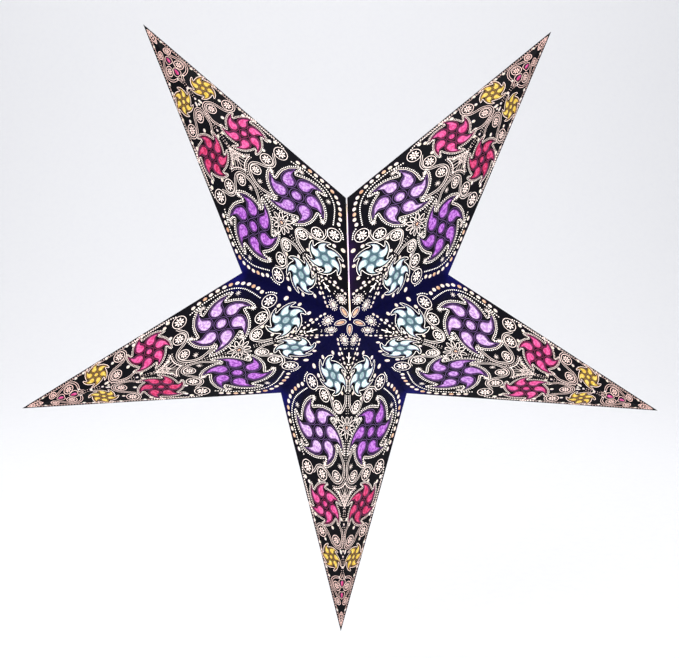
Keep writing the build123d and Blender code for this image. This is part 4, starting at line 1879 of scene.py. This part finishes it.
@dataclass(frozen=True)
class Studio:
    """A plain pale backdrop, soft light and the camera at the photo's viewing angle, in metres."""

    azimuth: float = -2.65
    elevation: float = 7.0
    roll: float = 0.75
    distance: float = 1.12
    lens: float = 63.6
    shift: Point = (-0.0082, -0.0325)
    world_colour: Colour = (0.9, 0.92, 1.0)
    world_light: float = 0.32
    world_seen: float = 0.86
    floor_height: float = -0.42
    floor_front: float = -4.0
    floor_back: float = 1.5
    curve_radius: float = 0.9
    curve_steps: int = 12
    paper_top: float = 3.6
    paper_side: float = 4.0

    def build(self) -> None:
        """Sets up the stage, the lights, the world and the camera."""
        self._backdrop()
        self._light("key_light", (-0.9, -1.7, 1.3), 1.3, 17.0)
        self._light("fill_light", (1.3, -1.6, 0.2), 1.6, 9.0)
        self._light("backdrop_light", (0.0, 0.5, 2.1), 2.6, 52.0)
        self._world()
        bpy.context.scene.view_settings.view_transform = "Standard"
        self._camera()

    def _world(self) -> None:
        """Sets up a soft light from all round, pale where the camera sees past the backdrop."""
        world = bpy.data.worlds.new("studio")
        world.use_nodes = True
        tree = world.node_tree
        rays = tree.nodes.new("ShaderNodeLightPath").outputs
        seen = rays["Is Camera Ray"]
        for ray in ("Is Glossy Ray", "Is Transmission Ray"):
            either = tree.nodes.new("ShaderNodeMath")
            either.operation, either.use_clamp = "ADD", True
            tree.links.new(seen, either.inputs[0])
            tree.links.new(rays[ray], either.inputs[1])
            seen = either.outputs[0]
        level = tree.nodes.new("ShaderNodeMapRange")
        level.inputs["To Min"].default_value = self.world_light
        level.inputs["To Max"].default_value = self.world_seen
        tree.links.new(seen, level.inputs["Value"])
        sky = tree.nodes["Background"]
        sky.inputs["Color"].default_value = (*self.world_colour, 1.0)
        tree.links.new(level.outputs[0], sky.inputs["Strength"])
        bpy.context.scene.world = world

    def _backdrop(self) -> None:
        """One sheet of paper: a floor that curves up behind the star."""
        floor, bend, curve = self.floor_height, self.floor_back, self.curve_radius
        profile = [(self.floor_front, floor), (bend, floor)]
        for step in range(1, self.curve_steps + 1):
            angle = math.pi / 2 * step / self.curve_steps
            profile.append((bend + curve * math.sin(angle), floor + curve * (1 - math.cos(angle))))
        profile.append((bend + curve, self.paper_top))
        corners = [(x, y, z) for y, z in profile for x in (-self.paper_side, self.paper_side)]
        faces = [(2 * n, 2 * n + 1, 2 * n + 3, 2 * n + 2) for n in range(len(profile) - 1)]
        mesh = bpy.data.meshes.new("backdrop")
        mesh.from_pydata(corners, [], faces)
        mesh.materials.append(BACKDROP.make())
        mesh.polygons.foreach_set("use_smooth", [True] * len(faces))
        sheet = put_in_scene("backdrop", mesh)
        sheet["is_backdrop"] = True

    @staticmethod
    def _light(name: str, place: tuple[float, float, float], size: float, power: float) -> None:
        """A soft square light that faces the star.

        Args:
            name: the light's name.
            place: where it stands, in metres.
            size: its side in metres.
            power: its power in watts.
        """
        lamp = bpy.data.lights.new(name, "AREA")
        lamp.energy, lamp.size = power, size
        light = put_in_scene(name, lamp)
        light.location = place
        light.rotation_euler = (-Vector(place)).to_track_quat("-Z", "Y").to_euler()
        light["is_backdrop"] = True

    def _camera(self) -> None:
        """Places the camera on the line through the star's centre at the photo's viewing angle."""
        side, rise = math.radians(self.azimuth), math.radians(self.elevation)
        back = Vector((math.sin(side) * math.cos(rise), -math.cos(side) * math.cos(rise), math.sin(rise)))
        right = Vector((0, 0, 1)).cross(back).normalized()
        turn = Matrix((right, back.cross(right), back)).transposed().to_4x4()
        lens = bpy.data.cameras.new("camera")
        lens.lens, lens.sensor_width = self.lens, 36.0
        lens.shift_x, lens.shift_y = self.shift
        camera = put_in_scene("camera", lens)
        roll = Matrix.Rotation(math.radians(self.roll), 4, "Z")
        camera.matrix_world = Matrix.Translation(back * self.distance) @ turn @ roll
        bpy.context.scene.camera = camera


def as_lists(value: Any) -> Any:
    """A box as plain lists of numbers."""
    return [as_lists(part) for part in value] if hasattr(value, "__len__") else float(value)


def main() -> None:
    """Builds the lantern on the CAD frame and the studio round it."""
    finishes, sheets = Finishes.make(), Sheets()
    for arm in Arm:
        declare(CardArm(arm, sheets, finishes).build(), f"arm_{arm.value}")
        declare(TissueArm(arm, sheets, finishes).build(), f"lining_{arm.value}")
    declare(Bulb().build(), "bulb")
    foam = FOAM.make()
    for node in sorted(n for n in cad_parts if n.startswith("seam_pad_")):
        pad = FoamPad(node).build(foam)
        declare(pad, node)
    made = {finish: finish.make() for finish in dict.fromkeys(CARRIED.values())}
    for node, finish in CARRIED.items():
        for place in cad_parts[node].material_slots:
            place.material = made[finish]
    Studio().build()
    boxes = {"cad": as_lists(box_at_load), "scene": as_lists(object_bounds())}
    log.info("boxes: %s", boxes)


if __name__ == "__main__":
    main()
